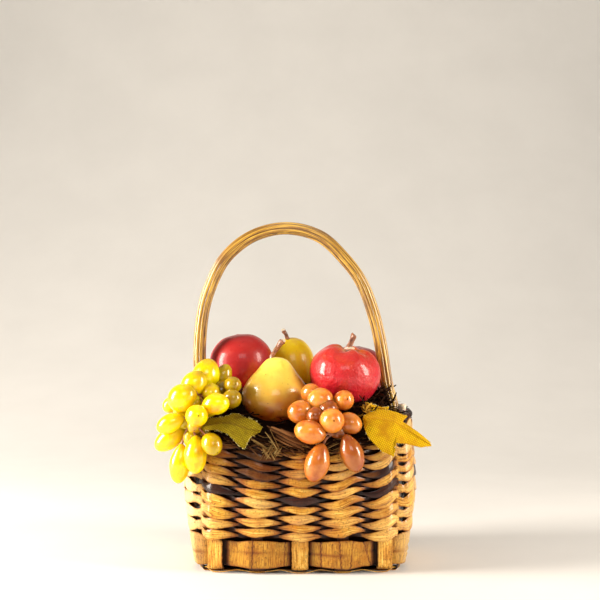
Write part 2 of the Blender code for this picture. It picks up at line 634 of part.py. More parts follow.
def build():
    clear_scene()
    straw = material("woven splint", 0xD2A050, 0.45)
    brown = material("stained splint", 0x4A2414, 0.35)
    cane = material("lacquered cane", 0xC9973F, 0.25)
    moss = material("dark moss", 0x2A1A10, 0.9)
    yellow = material("yellow pear", 0xF0CC50, 0.35)
    red = material("red fruit skin", 0xC0302C, 0.35)
    bark = material("brown stalk", 0x6A3A20, 0.6)
    gold = material("yellow grape", 0xF4CC10, 0.25)
    amber = material("orange grape", 0xE0802C, 0.25)
    cloth = material("yellow leaf fabric", 0xD0AE1C, 0.8)

    splints(straw)
    base_band(straw)
    for row in range(ROWS):
        woven_row(f"weaver_{row + 1:02d}", row, brown if row == DARK_ROW else straw)
    rim(brown)
    place("handle", sweep(handle_sections()), cane, smooth=True)

    fruits = [
        fruit("pear_front", PEAR_OUTLINE, (-9.2, -9, 49.4), (0, 0), yellow),
        fruit("pear_back", SMALL_PEAR_OUTLINE, (-3, 14.5, 58.6), (-4, 0), yellow, sides=12, steps=9),
        fruit("red_fruit_left", ROUND_OUTLINE, (-21.9, 7.4, 69.3), (0, -8), red, sides=13, steps=10),
        fruit("red_fruit_right", LOBED_OUTLINE, (15.7, -7, 66.6), (6, 11), red, steps=13, lobes=0.06),
        fruit("red_fruit_back", ROUND_OUTLINE, (21.0, 16.6, 64.6), (0, 6), red, sides=12, steps=9),
    ]
    bpy.context.view_layer.update()
    hollows = bpy.data.collections.new("hollows")
    for piece in fruits:
        cutter(hollows, piece, HOLLOW_GROWTH)
    handle_cutter = place("cutter_handle", sweep(handle_sections(HANDLE_CLEARANCE)), None)
    bpy.context.scene.collection.objects.unlink(handle_cutter)
    hollows.objects.link(handle_cutter)
    handle_cutter.hide_render = True
    handle_cutter.display_type = "WIRE"
    filling(hollows, moss)

    for name, (points, radii) in STALKS.items():
        stem(name, points, radii, bark)
    bunch("grapes_yellow", YELLOW_GRAPES, YELLOW_HUB, YELLOW_STEM_FORK, YELLOW_STEM_ROOT, YELLOW_HANGING, gold)
    bunch("grapes_orange", ORANGE_GRAPES, ORANGE_HUB, ORANGE_STEM_FORK, ORANGE_STEM_ROOT, ORANGE_HANGING, amber)
    leaf("leaf_left", LEFT_LEAF, cloth)
    leaf("leaf_right", RIGHT_LEAF, cloth)
    leaf("leaf_small", SMALL_LEAF, cloth)


build()
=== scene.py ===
"""The looks of a small woven splint basket with a tall arched handle, overfilled with artificial fruit.

Metres, +Z up, the front faces -Y and the origin is under the middle of the base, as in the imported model.
"""

import math
import random

import bpy
import numpy as np
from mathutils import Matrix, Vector


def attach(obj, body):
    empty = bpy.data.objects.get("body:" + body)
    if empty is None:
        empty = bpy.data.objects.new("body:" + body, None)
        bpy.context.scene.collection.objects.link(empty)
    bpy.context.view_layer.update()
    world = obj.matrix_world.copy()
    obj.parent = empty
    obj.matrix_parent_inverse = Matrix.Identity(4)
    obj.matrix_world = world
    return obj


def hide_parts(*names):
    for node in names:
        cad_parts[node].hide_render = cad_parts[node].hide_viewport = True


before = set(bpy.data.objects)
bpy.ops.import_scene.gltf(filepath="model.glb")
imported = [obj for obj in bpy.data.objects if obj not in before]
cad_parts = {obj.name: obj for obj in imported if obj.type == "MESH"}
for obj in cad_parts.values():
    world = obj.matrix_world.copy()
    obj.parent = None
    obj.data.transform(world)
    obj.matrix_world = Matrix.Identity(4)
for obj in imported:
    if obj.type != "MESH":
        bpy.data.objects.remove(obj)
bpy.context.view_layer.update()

MM = 0.001
BODY = "root"
UP = np.array((0.0, 0.0, 1.0))

# The wall's middle surface, as in the CAD: a rounded rectangle that swells from the base to the middle.
# Half widths and half depths are those at the base, the middle and the rim.
HALF_WIDTHS = (35.2 * MM, 39.4 * MM, 38.2 * MM)
HALF_DEPTHS = (22.8 * MM, 25.6 * MM, 24.6 * MM)
MIDDLE_HEIGHT, RIM_HEIGHT = 26 * MM, 46 * MM
BASE_SQUARENESS, WALL_SQUARENESS = 5.0, 3.2
END_RISE = 7.6 * MM
STAKE_PITCH = 14.5 * MM
FRONT_STAKES = tuple(x * MM for x in (-29, -14.5, 0, 14.5, 29))
SIDE_STAKES = tuple(y * MM for y in (-15.4, 0, 15.4))
STAKES = 2 * (len(FRONT_STAKES) + len(SIDE_STAKES))
SPLINT_WIDTH, STAKE_WIDTH, SPLINT_THICKNESS = 5.6 * MM, 3.6 * MM, 0.6 * MM
LOW_LEVEL, HIGH_LEVEL, BEND_RADIUS = 0.3 * MM, 1.2 * MM, 1.6 * MM
BAND_LOW, BAND_HIGH = 2.4 * MM, 11.0 * MM
BAND_OFFSET = 1.55 * MM
ROWS, FIRST_ROW, ROW_PITCH = 20, 13.0 * MM, 1.55 * MM
ROW_HEIGHT, ROW_OFFSET, ROW_SHIFT = 2.8 * MM, 1.75 * MM, 0.15 * MM
STAKE_HEIGHTS = tuple(z * MM for z in (36, 26, 12.6, 11, 6))
FILLING_INSET = 2.45 * MM
GAP = 0.3 * MM


# Shaping

WAVES = 6


def deselect():
    if bpy.context.mode != "OBJECT":
        bpy.ops.object.mode_set(mode="OBJECT")
    bpy.ops.object.select_all(action="DESELECT")


def choose(*parts):
    """Selects only these objects, the first of them active."""
    deselect()
    for part in parts:
        part.select_set(True)
    bpy.context.view_layer.objects.active = parts[0]


def clamp(values):
    return np.clip(values, 0, 1)


def blend(start, end, amount):
    return start + (end - start) * amount


def unit(vectors):
    return vectors / np.maximum(np.linalg.norm(vectors, axis=-1, keepdims=True), 1e-12)


def smooth(points, count):
    """Points spread evenly by number along a Catmull-Rom curve through the given rows of numbers."""
    points = np.asarray(points, float)
    knots = np.vstack((2 * points[:1] - points[1:2], points, 2 * points[-1:] - points[-2:-1]))
    spans = len(points) - 1
    place = np.linspace(0, spans, count)
    span = np.minimum(place.astype(int), spans - 1)
    t = (place - span)[:, None]
    a, b, c, d = (knots[span + i] for i in range(4))
    return 0.5 * (2 * b + (c - a) * t + (2 * a - 5 * b + 4 * c - d) * t**2 + (3 * b - a - 3 * c + d) * t**3)


def at(values, where):
    """Rows of numbers read at places from 0 to 1, with straight lines between them."""
    values = np.asarray(values, float)
    place = clamp(where) * (len(values) - 1)
    low = np.minimum(place.astype(int), len(values) - 2)
    return blend(values[low], values[low + 1], (place - low)[:, None])


def wobble(u, rng, low, high):
    """A smooth irregular wave round the basket, between about -1 and 1, with low to high swings a turn."""
    total = np.zeros_like(u)
    for _ in range(WAVES):
        total += np.sin(math.tau * rng.randint(low, high) * u / STAKES + rng.uniform(0, math.tau))
    return total / WAVES**0.5


def each_pass(u, rng, spread):
    """A number for each stake, between -spread and spread, that eases from one stake to the next."""
    numbers = np.array([rng.uniform(-spread, spread) for _ in range(STAKES)])
    stake = np.floor(u).astype(int)
    amount = np.sin((u - stake) * math.pi / 2) ** 2
    return blend(numbers[stake % STAKES], numbers[(stake + 1) % STAKES], amount)


def new_grid(name, along, across):
    """A flat grid one metre square, whose X and Y then say how far along and across a piece each point is."""
    deselect()
    bpy.ops.mesh.primitive_grid_add(x_subdivisions=along, y_subdivisions=across, size=1, calc_uvs=True)
    obj = bpy.context.object
    obj.name = obj.data.name = name
    points = points_of(obj)
    return obj, points[:, 0] + 0.5, points[:, 1] + 0.5


def new_ball(name, segments, rings):
    """A ball of radius one, its points, and how far up the ball each of them is, from 0 to 1."""
    deselect()
    bpy.ops.mesh.primitive_uv_sphere_add(segments=segments, ring_count=rings, radius=1)
    obj = bpy.context.object
    obj.name = obj.data.name = name
    ball = points_of(obj)
    return obj, ball, np.arccos(np.clip(-ball[:, 2], -1, 1)) / math.pi


def points_of(obj):
    points = np.empty(len(obj.data.vertices) * 3)
    obj.data.vertices.foreach_get("co", points)
    return points.reshape(-1, 3)


def move_points(obj, points):
    obj.data.vertices.foreach_set("co", np.ascontiguousarray(points, float).ravel())
    obj.data.update()


def corners_of(obj):
    """The point at each corner of each face."""
    corners = np.empty(len(obj.data.loops), np.int32)
    obj.data.loops.foreach_get("vertex_index", corners)
    return corners


def uv_of(obj):
    values = np.empty(len(obj.data.loops) * 2, np.float32)
    obj.data.uv_layers.active.uv.foreach_get("vector", values)
    return values.reshape(-1, 2)


def set_uv(obj, values):
    obj.data.uv_layers.active.uv.foreach_set("vector", values.astype(np.float32).ravel())


def measure_uv(obj, length, width, shift=0.0):
    """Gives the UV map real millimetres, so that fibres and threads have their true size."""
    set_uv(obj, uv_of(obj) * (length / MM, width / MM) + (shift, 0))


def paint(obj, name, values):
    """A number at each point, which the piece's material reads."""
    found = obj.data.attributes.get(name) or obj.data.attributes.new(name, "FLOAT", "POINT")
    found.data.foreach_set("value", np.broadcast_to(values, len(obj.data.vertices)).astype(np.float32))


def close_skin(obj, ends=False):
    """Joins the edges that meet, and caps the open ends."""
    choose(obj)
    bpy.ops.object.mode_set(mode="EDIT")
    bpy.ops.mesh.select_all(action="SELECT")
    bpy.ops.mesh.remove_doubles(threshold=1e-7)
    if ends:
        bpy.ops.mesh.fill_holes(sides=0)
    bpy.ops.mesh.select_all(action="SELECT")
    bpy.ops.mesh.normals_make_consistent(inside=False)
    bpy.ops.object.mode_set(mode="OBJECT")


def scatter(rng, reach=1.0):
    """A random step, up to this far along each axis."""
    return np.array([rng.uniform(-reach, reach) for _ in range(3)])


def new_ring(name, stations, sides, fullness):
    """A splint's skin round the basket: each point's place in stakes, and how far out and across it is."""
    obj, s, t = new_grid(name, stations, sides)
    return obj, s * STAKES, *flat_round(t, fullness)


def flat_round(turn, fullness):
    """The outline of a flat splint with rounded edges: how far out and how far across, from -1 to 1."""
    angle = math.tau * turn + math.pi
    out, across = np.cos(angle), np.sin(angle)
    return np.sign(out) * np.abs(out) ** fullness, np.sign(across) * np.abs(across) ** 0.9


def finish_piece(obj, finish, nodes=(), angle=40):
    """Smooth faces, the material, and the body and CAD nodes that the piece stands for."""
    choose(obj)
    bpy.ops.object.shade_smooth_by_angle(angle=math.radians(angle))
    obj.data.materials.clear()
    obj.data.materials.append(finish)
    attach(obj, BODY)
    if nodes:
        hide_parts(*nodes)


def build(obj, points, length, width, finish, slot, nodes=(), shift=0.0, ends=False, angle=40, **tones):
    """Shapes a grid, measures it, paints its tones, closes it and finishes it as a piece."""
    move_points(obj, points)
    measure_uv(obj, length, width, shift)
    for name, values in tones.items():
        paint(obj, name, values)
    close_skin(obj, ends)
    finish_piece(obj, finish, nodes, angle)


def join(name, parts):
    choose(*parts)
    bpy.ops.object.join()
    parts[0].name = parts[0].data.name = name
    return parts[0]


def thicken(obj, thickness):
    """Gives a sheet its thickness, half of it on each side."""
    choose(obj)
    modifier = obj.modifiers.new("thickness", "SOLIDIFY")
    modifier.thickness, modifier.offset = thickness, 0
    bpy.ops.object.modifier_apply(modifier=modifier.name)


# Materials


def linear(value):
    """An sRGB hex value as the linear colour that Blender works in."""
    channels = [((value >> shift) & 255) / 255 for shift in (16, 8, 0)]
    return (*(c / 12.92 if c <= 0.04045 else ((c + 0.055) / 1.055) ** 2.4 for c in channels), 1)


def new_finish(name, **constants):
    """A material whose shader has these constants on its own sockets, which are named without spaces."""
    made = bpy.data.materials.new(name)
    made.use_nodes = True
    by_name = {socket.name.replace(" ", ""): socket for socket in shader_of(made).inputs}
    for key, value in constants.items():
        by_name[key].default_value = value
    return made


def shader_of(made):
    return made.node_tree.nodes["Principled BSDF"]


def add(made, kind, stops=(), output=0, **values):
    """Adds a node. Values are its settings, or its sockets, as values, as hex colours or as links.

    Sockets that share a name go by number: a Mix node has its amount at 0, and its two colours at 6 and 7.
    """
    node = made.node_tree.nodes.new("ShaderNode" + kind)
    for i, (place, shade) in enumerate(stops):
        elements = node.color_ramp.elements
        stop = elements[i] if i < 2 else elements.new(place)
        stop.position, stop.color = place, linear(shade)
    sockets = {}
    for i, socket in enumerate(node.inputs):
        sockets.setdefault(socket.name.replace(" ", ""), i)
    for key, value in values.items():
        if hasattr(node, key) and key not in sockets:
            setattr(node, key, value)
            continue
        socket = node.inputs[int(key[5:]) if key.startswith("input") else sockets[key]]
        if isinstance(value, bpy.types.NodeSocket):
            made.node_tree.links.new(value, socket)
        elif socket.type == "RGBA":
            socket.default_value = linear(value)
        else:
            socket.default_value = value
    return node.outputs[output]


def fibre_grain(made, across, fine):
    """Noise on the UV map with features this many millimetres long and wide."""
    uv = add(made, "TexCoord", output="UV")
    mapped = add(made, "Mapping", Vector=uv, Scale=(1 / across, 1 / fine, 1))
    return add(made, "TexNoise", Vector=mapped, Scale=1.0, Detail=5.0, Roughness=0.6)


def mottling(made, size, detail=3.0):
    """Noise through the piece with features this many millimetres wide."""
    place = add(made, "TexCoord", output="Object")
    return add(made, "TexNoise", Vector=place, Scale=1 / (size * MM), Detail=detail, Roughness=0.55)


def surface(made, colour, height, depth):
    """Gives the shader its colour and a bump this many millimetres deep."""
    made.node_tree.links.new(colour, shader_of(made).inputs["Base Color"])
    bump = add(made, "Bump", Height=height, Distance=depth * MM, Strength=1.0)
    made.node_tree.links.new(bump, shader_of(made).inputs["Normal"])
    return made


def splint_finish(name, pale, middle, dark, stain, roughness, coat, grain=(9.0, 0.28), creases=(0.5, 2.2)):
    """Split ash, woven damp, stained and varnished: fine fibres, small creases and brown edges."""
    made = new_finish(
        name, Roughness=roughness, SpecularIORLevel=0.2, CoatWeight=coat, CoatRoughness=0.14, IOR=1.5,
    )
    fibres = fibre_grain(made, *grain)
    tone = add(made, "ValToRGB", Fac=fibres, stops=((0.33, dark), (0.64, pale), (0.48, middle)))
    patches = add(made, "ValToRGB", Fac=mottling(made, 6.0), stops=((0.33, 0xDCC08C), (0.58, 0xFFFFFF)))
    toned = add(
        made, "Mix", output=2, data_type="RGBA", blend_type="MULTIPLY", input6=tone, input7=patches,
        input0=1.0,
    )
    # Some passes took less stain and stayed cream; the cream towards the ends of the basket is painted light.
    toned = add(
        made, "Mix", output=2, data_type="RGBA", input6=toned, input7=0xFFE4A6,
        input0=add(made, "Attribute", output="Fac", attribute_name="pale"),
    )
    # Small spots of stain that the brush left.
    spots = add(made, "MapRange", Value=mottling(made, 0.7, 5.0), FromMin=0.54, FromMax=0.72)
    spotted = add(
        made, "Mix", output=2, data_type="RGBA", input6=toned, input7=stain,
        input0=add(made, "Math", operation="MULTIPLY", input0=spots, input1=0.65),
    )
    rough_edge = add(made, "Math", operation="MULTIPLY_ADD", input0=fibres, input1=0.5, input2=-0.24)
    stained_and_shaded = add(
        made, "Math", operation="ADD",
        input0=add(made, "Attribute", output="Fac", attribute_name="stain"), input1=rough_edge,
        use_clamp=True,
    )
    # The stain and the painted shade are red-brown where thin, and nearly black where they gather.
    reddened = add(
        made, "Mix", output=2, data_type="RGBA", blend_type="MULTIPLY", input6=spotted, input7=0xF4C8A0,
        input0=add(made, "MapRange", Value=stained_and_shaded, FromMin=0.12, FromMax=0.45),
    )
    height = add(made, "Math", operation="ADD", input0=fibres, input1=fibre_grain(made, *creases))
    return surface(
        made, add(made, "Mix", output=2, data_type="RGBA", input6=reddened, input7=stain, input0=stained_and_shaded),
        height, 0.14,
    )


def cane_finish():
    """Lacquered cane: honey strands, with painted shade in the grooves between them and dark red-brown
    streaks on the inner side of the arch, under a glossy coat.
    """
    made = new_finish("lacquered_cane", Roughness=0.4, CoatWeight=1.0, CoatRoughness=0.08, IOR=1.5)
    fibres = fibre_grain(made, 16.0, 0.3)
    tone = add(made, "ValToRGB", Fac=fibres, stops=((0.34, 0x4C2804), (0.6, 0xE4B644), (0.48, 0x9E6C16)))
    streaks = add(made, "MapRange", Value=fibre_grain(made, 5.0, 0.8), FromMin=0.45, FromMax=0.7)
    inner_streaks = add(
        made, "Math", operation="MULTIPLY", input0=streaks,
        input1=add(made, "Attribute", output="Fac", attribute_name="inside"),
    )
    grooves_and_streaks = add(
        made, "Math", operation="ADD", input0=inner_streaks,
        input1=add(made, "Attribute", output="Fac", attribute_name="stain"), use_clamp=True,
    )
    return surface(
        made, add(made, "Mix", output=2, data_type="RGBA", input6=tone, input7=0x3A1806, input0=grooves_and_streaks),
        fibres, 0.05,
    )


def skin_finish(name, low, high, blotch, speck, roughness, coat, dent, crown=None):
    """Moulded wax over foam, airbrushed and lacquered: two tones, blotches, specks and shallow dents."""
    made = new_finish(
        name, Roughness=roughness, SpecularIORLevel=0.3, CoatWeight=coat, CoatRoughness=0.12,
        SubsurfaceWeight=0.12, SubsurfaceScale=0.003, SubsurfaceRadius=(1.0, 0.5, 0.25),
    )
    rise = add(
        made, "MapRange", Value=add(made, "Attribute", output="Fac", attribute_name="rise"), FromMin=0.2,
        FromMax=0.7,
    )
    spray = add(
        made, "Math", operation="MULTIPLY_ADD", input0=mottling(made, 11.0, 2.0), input1=0.9,
        input2=-0.45,
    )
    tone = add(
        made, "Mix", output=2, data_type="RGBA", input6=low, input7=high,
        input0=add(made, "Math", operation="ADD", input0=rise, input1=spray, use_clamp=True),
    )
    patches = add(made, "MapRange", Value=mottling(made, 5.0, 5.0), FromMin=0.5, FromMax=0.72)
    blotched = add(
        made, "Mix", output=2, data_type="RGBA", input6=tone, input7=blotch,
        input0=add(made, "Math", operation="MULTIPLY", input0=patches, input1=0.5),
    )
    if crown:
        # A ring of the undercoat shows where the paint thins out round the dent of the stalk.
        blotched = add(
            made, "Mix", output=2, data_type="RGBA", input6=blotched, input7=crown,
            input0=add(
                made, "MapRange", Value=add(made, "Attribute", output="Fac", attribute_name="rise"),
                FromMin=0.68, FromMax=0.8, ToMax=0.85,
            ),
        )
    dots = add(made, "MapRange", Value=mottling(made, 1.1, 2.0), FromMin=0.7, FromMax=0.76)
    return surface(
        made, add(made, "Mix", output=2, data_type="RGBA", input6=blotched, input7=speck, input0=dots),
        mottling(made, 2.2, 6.0), dent,
    )


def grape_finish(name, pale, deep, end, dot):
    """Moulded vinyl, translucent and shiny, deeper coloured at the stalk and with a dark blossom dot."""
    made = new_finish(
        name, Roughness=0.24, CoatWeight=0.6, CoatRoughness=0.06, SubsurfaceWeight=0.5,
        SubsurfaceScale=0.004, SubsurfaceRadius=(1.0, 0.6, 0.2), IOR=1.48,
    )
    tone = add(
        made, "Mix", output=2, data_type="RGBA", input6=pale, input7=deep,
        input0=add(made, "MapRange", Value=mottling(made, 4.0), FromMin=0.4, FromMax=0.68),
    )
    tinted = add(
        made, "Mix", output=2, data_type="RGBA", input6=tone, input7=end,
        input0=add(made, "Attribute", output="Fac", attribute_name="tint"),
    )
    rise = add(made, "Attribute", output="Fac", attribute_name="rise")
    shaded = add(
        made, "Mix", output=2, data_type="RGBA", input6=tinted, input7=end,
        input0=add(made, "MapRange", Value=rise, FromMin=0.62, FromMax=1.15),
    )
    spot = add(made, "MapRange", Value=rise, FromMin=0.012, FromMax=0.03, ToMin=0.9, ToMax=0.0)
    return surface(
        made, add(made, "Mix", output=2, data_type="RGBA", input6=shaded, input7=dot, input0=spot),
        mottling(made, 1.6), 0.12,
    )


def fabric_finish(name, pale, deep, vein):
    """Dyed plain-weave cotton, stiffened: crossing threads and a darker dyed midrib.

    The real threads lie 0.5 mm apart, and are drawn at 0.62 mm, the closest that still shows.
    """
    made = new_finish(name, Roughness=0.85, SpecularIORLevel=0.15)
    uv = add(made, "TexCoord", output="UV")
    turned = add(made, "Mapping", Vector=uv, Rotation=(0, 0, math.radians(28)))
    threads = []
    for way in ("X", "Y"):
        wave = add(
            made, "TexWave", Vector=turned, bands_direction=way, Scale=math.tau / 20 / 0.62,
            Distortion=0.5, Detail=2.0, DetailScale=1.5,
        )
        threads.append(wave.node.outputs["Fac"])
    cloth = add(made, "Math", operation="MULTIPLY", input0=threads[0], input1=threads[1])
    tone = add(
        made, "Mix", output=2, data_type="RGBA", input6=deep, input7=pale,
        input0=add(made, "MapRange", Value=cloth, FromMin=-0.15, FromMax=0.5),
    )
    dyed = add(
        made, "Mix", output=2, data_type="RGBA", input6=tone, input7=vein,
        input0=add(made, "MapRange", Value=mottling(made, 5.0, 4.0), FromMin=0.48, FromMax=0.75),
    )
    return surface(
        made,
        add(
            made, "Mix", output=2, data_type="RGBA", input6=dyed, input7=vein,
            input0=add(made, "Attribute", output="Fac", attribute_name="stain"),
        ),
        cloth, 0.16,
    )


def fibre_finish(name, pale, dark, roughness=0.55):
    """Dyed wood wool and moss: dull thin fibres in tones from one strand to the next."""
    made = new_finish(name, Roughness=roughness, SpecularIORLevel=0.12)
    tone = add(
        made, "Mix", output=2, data_type="RGBA", input6=dark, input7=pale,
        input0=add(made, "Attribute", output="Fac", attribute_name="tint"),
    )
    grain = fibre_grain(made, 3.0, 0.15)
    streaked = add(
        made, "Mix", output=2, data_type="RGBA", input6=tone, input7=dark,
        input0=add(
            made, "Math", operation="MULTIPLY",
            input0=add(made, "MapRange", Value=grain, FromMin=0.35, FromMax=0.7), input1=0.6,
        ),
    )
    return surface(made, streaked, grain, 0.05)


def plain_finish(name, shade, other, size, depth, **constants):
    """A finish of two close tones in patches, with a fine unevenness."""
    made = new_finish(name, **constants)
    patches = add(made, "MapRange", Value=mottling(made, size, 4.0), FromMin=0.35, FromMax=0.65)
    return surface(
        made, add(made, "Mix", output=2, data_type="RGBA", input6=shade, input7=other, input0=patches),
        mottling(made, size / 3), depth,
    )


ash = splint_finish("varnished_ash_splint", 0xFFD870, 0xDEA034, 0x744008, 0x260A02, 0.4, 0.32)
bark_ash = splint_finish(
    "cracked_ash_band", 0xE0AC3C, 0xBC8220, 0x744208, 0x200C03, 0.42, 0.3, (0.2, 3.0), (0.2, 3.0),
)
brown_ash = splint_finish("stained_ash_splint", 0x502410, 0x351306, 0x1A0903, 0x120602, 0.36, 0.35)
cane = cane_finish()
pear_wax = skin_finish("yellow_pear_wax", 0xA84200, 0xFFE85C, 0xD88A0C, 0x5A3210, 0.34, 0.6, 0.2)
small_pear_wax = skin_finish("olive_pear_wax", 0xD09804, 0xF4D008, 0xDC9C04, 0x5A3A10, 0.34, 0.4, 0.2)
red_wax = skin_finish("red_fruit_wax", 0xA0141C, 0xA81E1C, 0xB83022, 0x4A0810, 0.42, 0.3, 0.2)
rosy_wax = skin_finish("rosy_fruit_wax", 0xC81A30, 0xC02A1E, 0xC84A20, 0x5A0C10, 0.34, 0.5, 0.8, 0xD07020)
plum_wax = skin_finish("dark_red_fruit_wax", 0x6A0C16, 0x861620, 0x5A0A12, 0x380608, 0.36, 0.4, 0.3)
yellow_vinyl = grape_finish("yellow_grape_vinyl", 0xFFE400, 0xF0B800, 0x8A6C08, 0x3A2008)
orange_vinyl = grape_finish("orange_grape_vinyl", 0xEC9838, 0xCC6A20, 0x7A300A, 0x3A1408)
left_cloth = fabric_finish("olive_leaf_cotton", 0xAA9410, 0x665404, 0x5E4404)
right_cloth = fabric_finish("yellow_leaf_cotton", 0xF0C40A, 0xA87A04, 0xB87E06)
moss = fibre_finish("dyed_wood_wool", 0x4E2A12, 0x140703, 0.9)
straw_fibre = fibre_finish("straw_fibre", 0xDCB870, 0x6E4418)
brown_straw = fibre_finish("brown_straw_fibre", 0xA87444, 0x3C1E0C, 0.7)
shaving = fibre_finish("curled_wood_shaving", 0xE0B040, 0x8A5A14, 0.5)
thread = fibre_finish("cotton_thread", 0xF4ECC0, 0xC8B450)
wire = plain_finish("wrapped_stalk", 0x5C2812, 0xA86A40, 1.2, 0.2, Roughness=0.45, CoatWeight=0.5)
glue = plain_finish(
    "hot_melt_glue", 0xE8DCC8, 0xD8C4A8, 2.0, 0.1, Roughness=0.2, SubsurfaceWeight=0.4, SubsurfaceScale=0.002,
)


# The wall


def wall_shape(z):
    """Half width, half depth and squareness of the wall's middle surface at each height."""
    low = clamp(z / MIDDLE_HEIGHT)
    low = low**2 * (3 - 2 * low)
    high = clamp((z - MIDDLE_HEIGHT) / (RIM_HEIGHT - MIDDLE_HEIGHT)) ** 2
    width, depth = (
        base + (middle - base) * low + (rim - middle) * high
        for base, middle, rim in (HALF_WIDTHS, HALF_DEPTHS)
    )
    return width, depth, blend(BASE_SQUARENESS, WALL_SQUARENESS, low)


def other_side(known, half, other_half, square):
    return other_half * (1 - (abs(known) / half) ** square) ** (1 / square)


def wall_point(u, z, offset=0.0):
    """Points of the wall and their outward directions. u counts stakes round from the front's left one."""
    u, z, offset = (np.atleast_1d(np.asarray(value, float)) for value in (u, z, offset))
    u, z, offset = np.broadcast_arrays(u, z, offset)
    width, depth, square = wall_shape(z)
    half = [np.arctan2(-other_side(x, width, depth, square), np.full_like(z, x)) for x in FRONT_STAKES]
    half += [np.arctan2(np.full_like(z, y), other_side(y, depth, width, square)) for y in SIDE_STAKES]
    angles = np.array(half + [angle + math.pi for angle in half] + [half[0] + math.tau])
    stake = np.floor(u).astype(int) % STAKES
    here, there = (np.take_along_axis(angles, (stake + step)[None], 0)[0] for step in (0, 1))
    angle = blend(here, there, u - np.floor(u))
    c, s = np.cos(angle), np.sin(angle)
    reach = ((np.abs(c) / width) ** square + (np.abs(s) / depth) ** square) ** (-1 / square)
    x, y = reach * c, reach * s
    slope_x = np.copysign((np.abs(x) / width) ** (square - 1) / width, x)
    slope_y = np.copysign((np.abs(y) / depth) ** (square - 1) / depth, y)
    outward = unit(np.stack((slope_x, slope_y, np.zeros_like(x)), 1))
    return np.stack((x, y, z), 1) + outward * offset[:, None], outward


def end_lift(u, z):
    """How much the weave has climbed above its height at the middle of the front."""
    point, _ = wall_point(u, z)
    amount = clamp((z - BAND_HIGH) / (MIDDLE_HEIGHT - BAND_HIGH))
    return END_RISE * amount * (np.abs(point[:, 0]) / wall_shape(np.atleast_1d(z))[0]) ** 2


def rim_low(u):
    """The underside of the rim."""
    top_row = FIRST_ROW + (ROWS - 1) * ROW_PITCH
    return top_row + ROW_HEIGHT / 2 + GAP + end_lift(u, np.full_like(u, top_row))


# The woven rows

ROUND_LENGTH = 215 * MM
RING_STATIONS = 448
# A pass's full height over its stake, and how many stakes to each side of it the pass ends in a point.
ROW_FULL = 3.4 * MM
PASS_REACH = 0.63
CORNERS, CORNER_REACH = (4.5, 7.5, 12.5, 15.5), 0.32
DARK_ROW = 8
# Passes of other rows that took the dark stain too, as a row, a stake and an amount.
DARK_PASSES = (
    (12, 4, 1.0), (13, 1, 0.6), (15, 1, 0.3), (17, 1, 0.5), (16, 0, 0.3), (18, 0, 0.5), (19, 1, 0.8),
)


def woven_row(row):
    """One splint woven once round the stakes: full where it passes outside one, pointed where it dives."""
    rng = random.Random(100 + row)
    obj, u, out, across = new_ring(f"woven_row_{row + 1:02d}", RING_STATIONS, 14, 0.3)
    wave = np.cos(math.pi * (u + row))
    near = 1 - 2 * np.abs(u - np.round(u))
    middle = np.full_like(u, FIRST_ROW + row * ROW_PITCH)
    lift = end_lift(u, middle)
    # The rows spread where they climb to the ends of the basket, and the splints are wider there.
    spread = 1 + (end_lift(u, middle + MM) - lift) / MM
    size = 0.99 + each_pass(u, rng, 0.16) + 0.03 * wobble(u, rng, 60, 140)
    pointed = 1 - (np.abs(u - np.round(u)) / PASS_REACH) ** 1.35
    # Round the corners of the basket the splints are pressed flat and hardly dive.
    corner = np.max([np.exp(-(((u - place) / CORNER_REACH) ** 2)) for place in CORNERS], axis=0)
    pointed = np.maximum(pointed, 0.72 * corner)
    half = ROW_FULL * size * spread * pointed / 2
    spot, _ = wall_point(u, middle)
    # On the right, each pass slants up towards the end of the basket.
    slant = 0.7 * MM * clamp(spot[:, 0] / (18 * MM)) * -np.sign(spot[:, 1])
    slant = (slant + each_pass(u, rng, 0.4) * MM) * np.sin(math.tau * u)
    z = middle + lift + slant + 0.15 * MM * wobble(u, rng, 3, 16)
    crown = 0.12 * MM * near * (1 - across**2) * np.sign(wave)
    lean = (-0.22 + each_pass(u, rng, 0.2)) * MM * across * np.maximum(wave, 0)
    depth = ROW_OFFSET * wave + ROW_SHIFT + crown + 0.24 * MM * out + lean
    depth = depth + 0.05 * MM * wobble(u, rng, 20, 90)
    points, _ = wall_point(u, z + across * half, depth)
    # The stain and shade amount: painted shade where a pass dives behind a stake and towards its pointed
    # tips, darker along its edges, and a random amount of stain on each pass.
    edge = np.abs(across) ** 5
    dive = clamp((-0.02 - wave) / 0.22) * (1 - 0.6 * corner)
    stain = dive + 0.45 * edge + 0.5 * (1 - near) ** 2 * (1 - corner) + 0.12 * each_pass(u, rng, 1)
    for dark_row, stake, amount in DARK_PASSES:
        if row == dark_row:
            stain = stain + amount * clamp(1.3 - 2.2 * np.abs(u - stake))
    # Painted shade: the upper rows are darker on the left, where the grapes shade them.
    stain = stain + 0.3 * clamp((row - 10) / 6) * clamp(1 - np.abs(u - 0.9) / 1.5)
    # Painted light: the passes are paler towards the ends of the basket, more at the left end, and paler on
    # their outer face than on their inner; the random part is passes that took less stain.
    ends = clamp((np.abs(spot[:, 0]) / MM - 29) / 8) * np.where(spot[:, 0] < 0, 0.6, 0.2)
    dark = row == DARK_ROW
    pale = np.clip(each_pass(u, rng, 0.22) + ends, 0, 0.75) * (0.6 + 0.4 * out) * (not dark)
    finish, slot = (brown_ash, "stained_splint") if dark else (ash, "splint")
    build(
        obj, points, ROUND_LENGTH, 8 * MM, finish, slot, [f"weaver_{row + 1:02d}"], shift=37.0 * row,
        stain=clamp(stain), pale=pale,
    )


for row in range(ROWS):
    woven_row(row)


CREASE_HEIGHT = 7.1 * MM
# Cracks across the front of the band, as a place along the front, a slope and a width in millimetres.
CRACKS = (
    (-16.0, 0.05, 0.16), (7.1, -0.02, 0.24), (13.6, -0.06, 0.16), (17.4, 0.1, 0.13), (22.9, -0.3, 0.16),
    (-5.2, 0.04, 0.12),
)


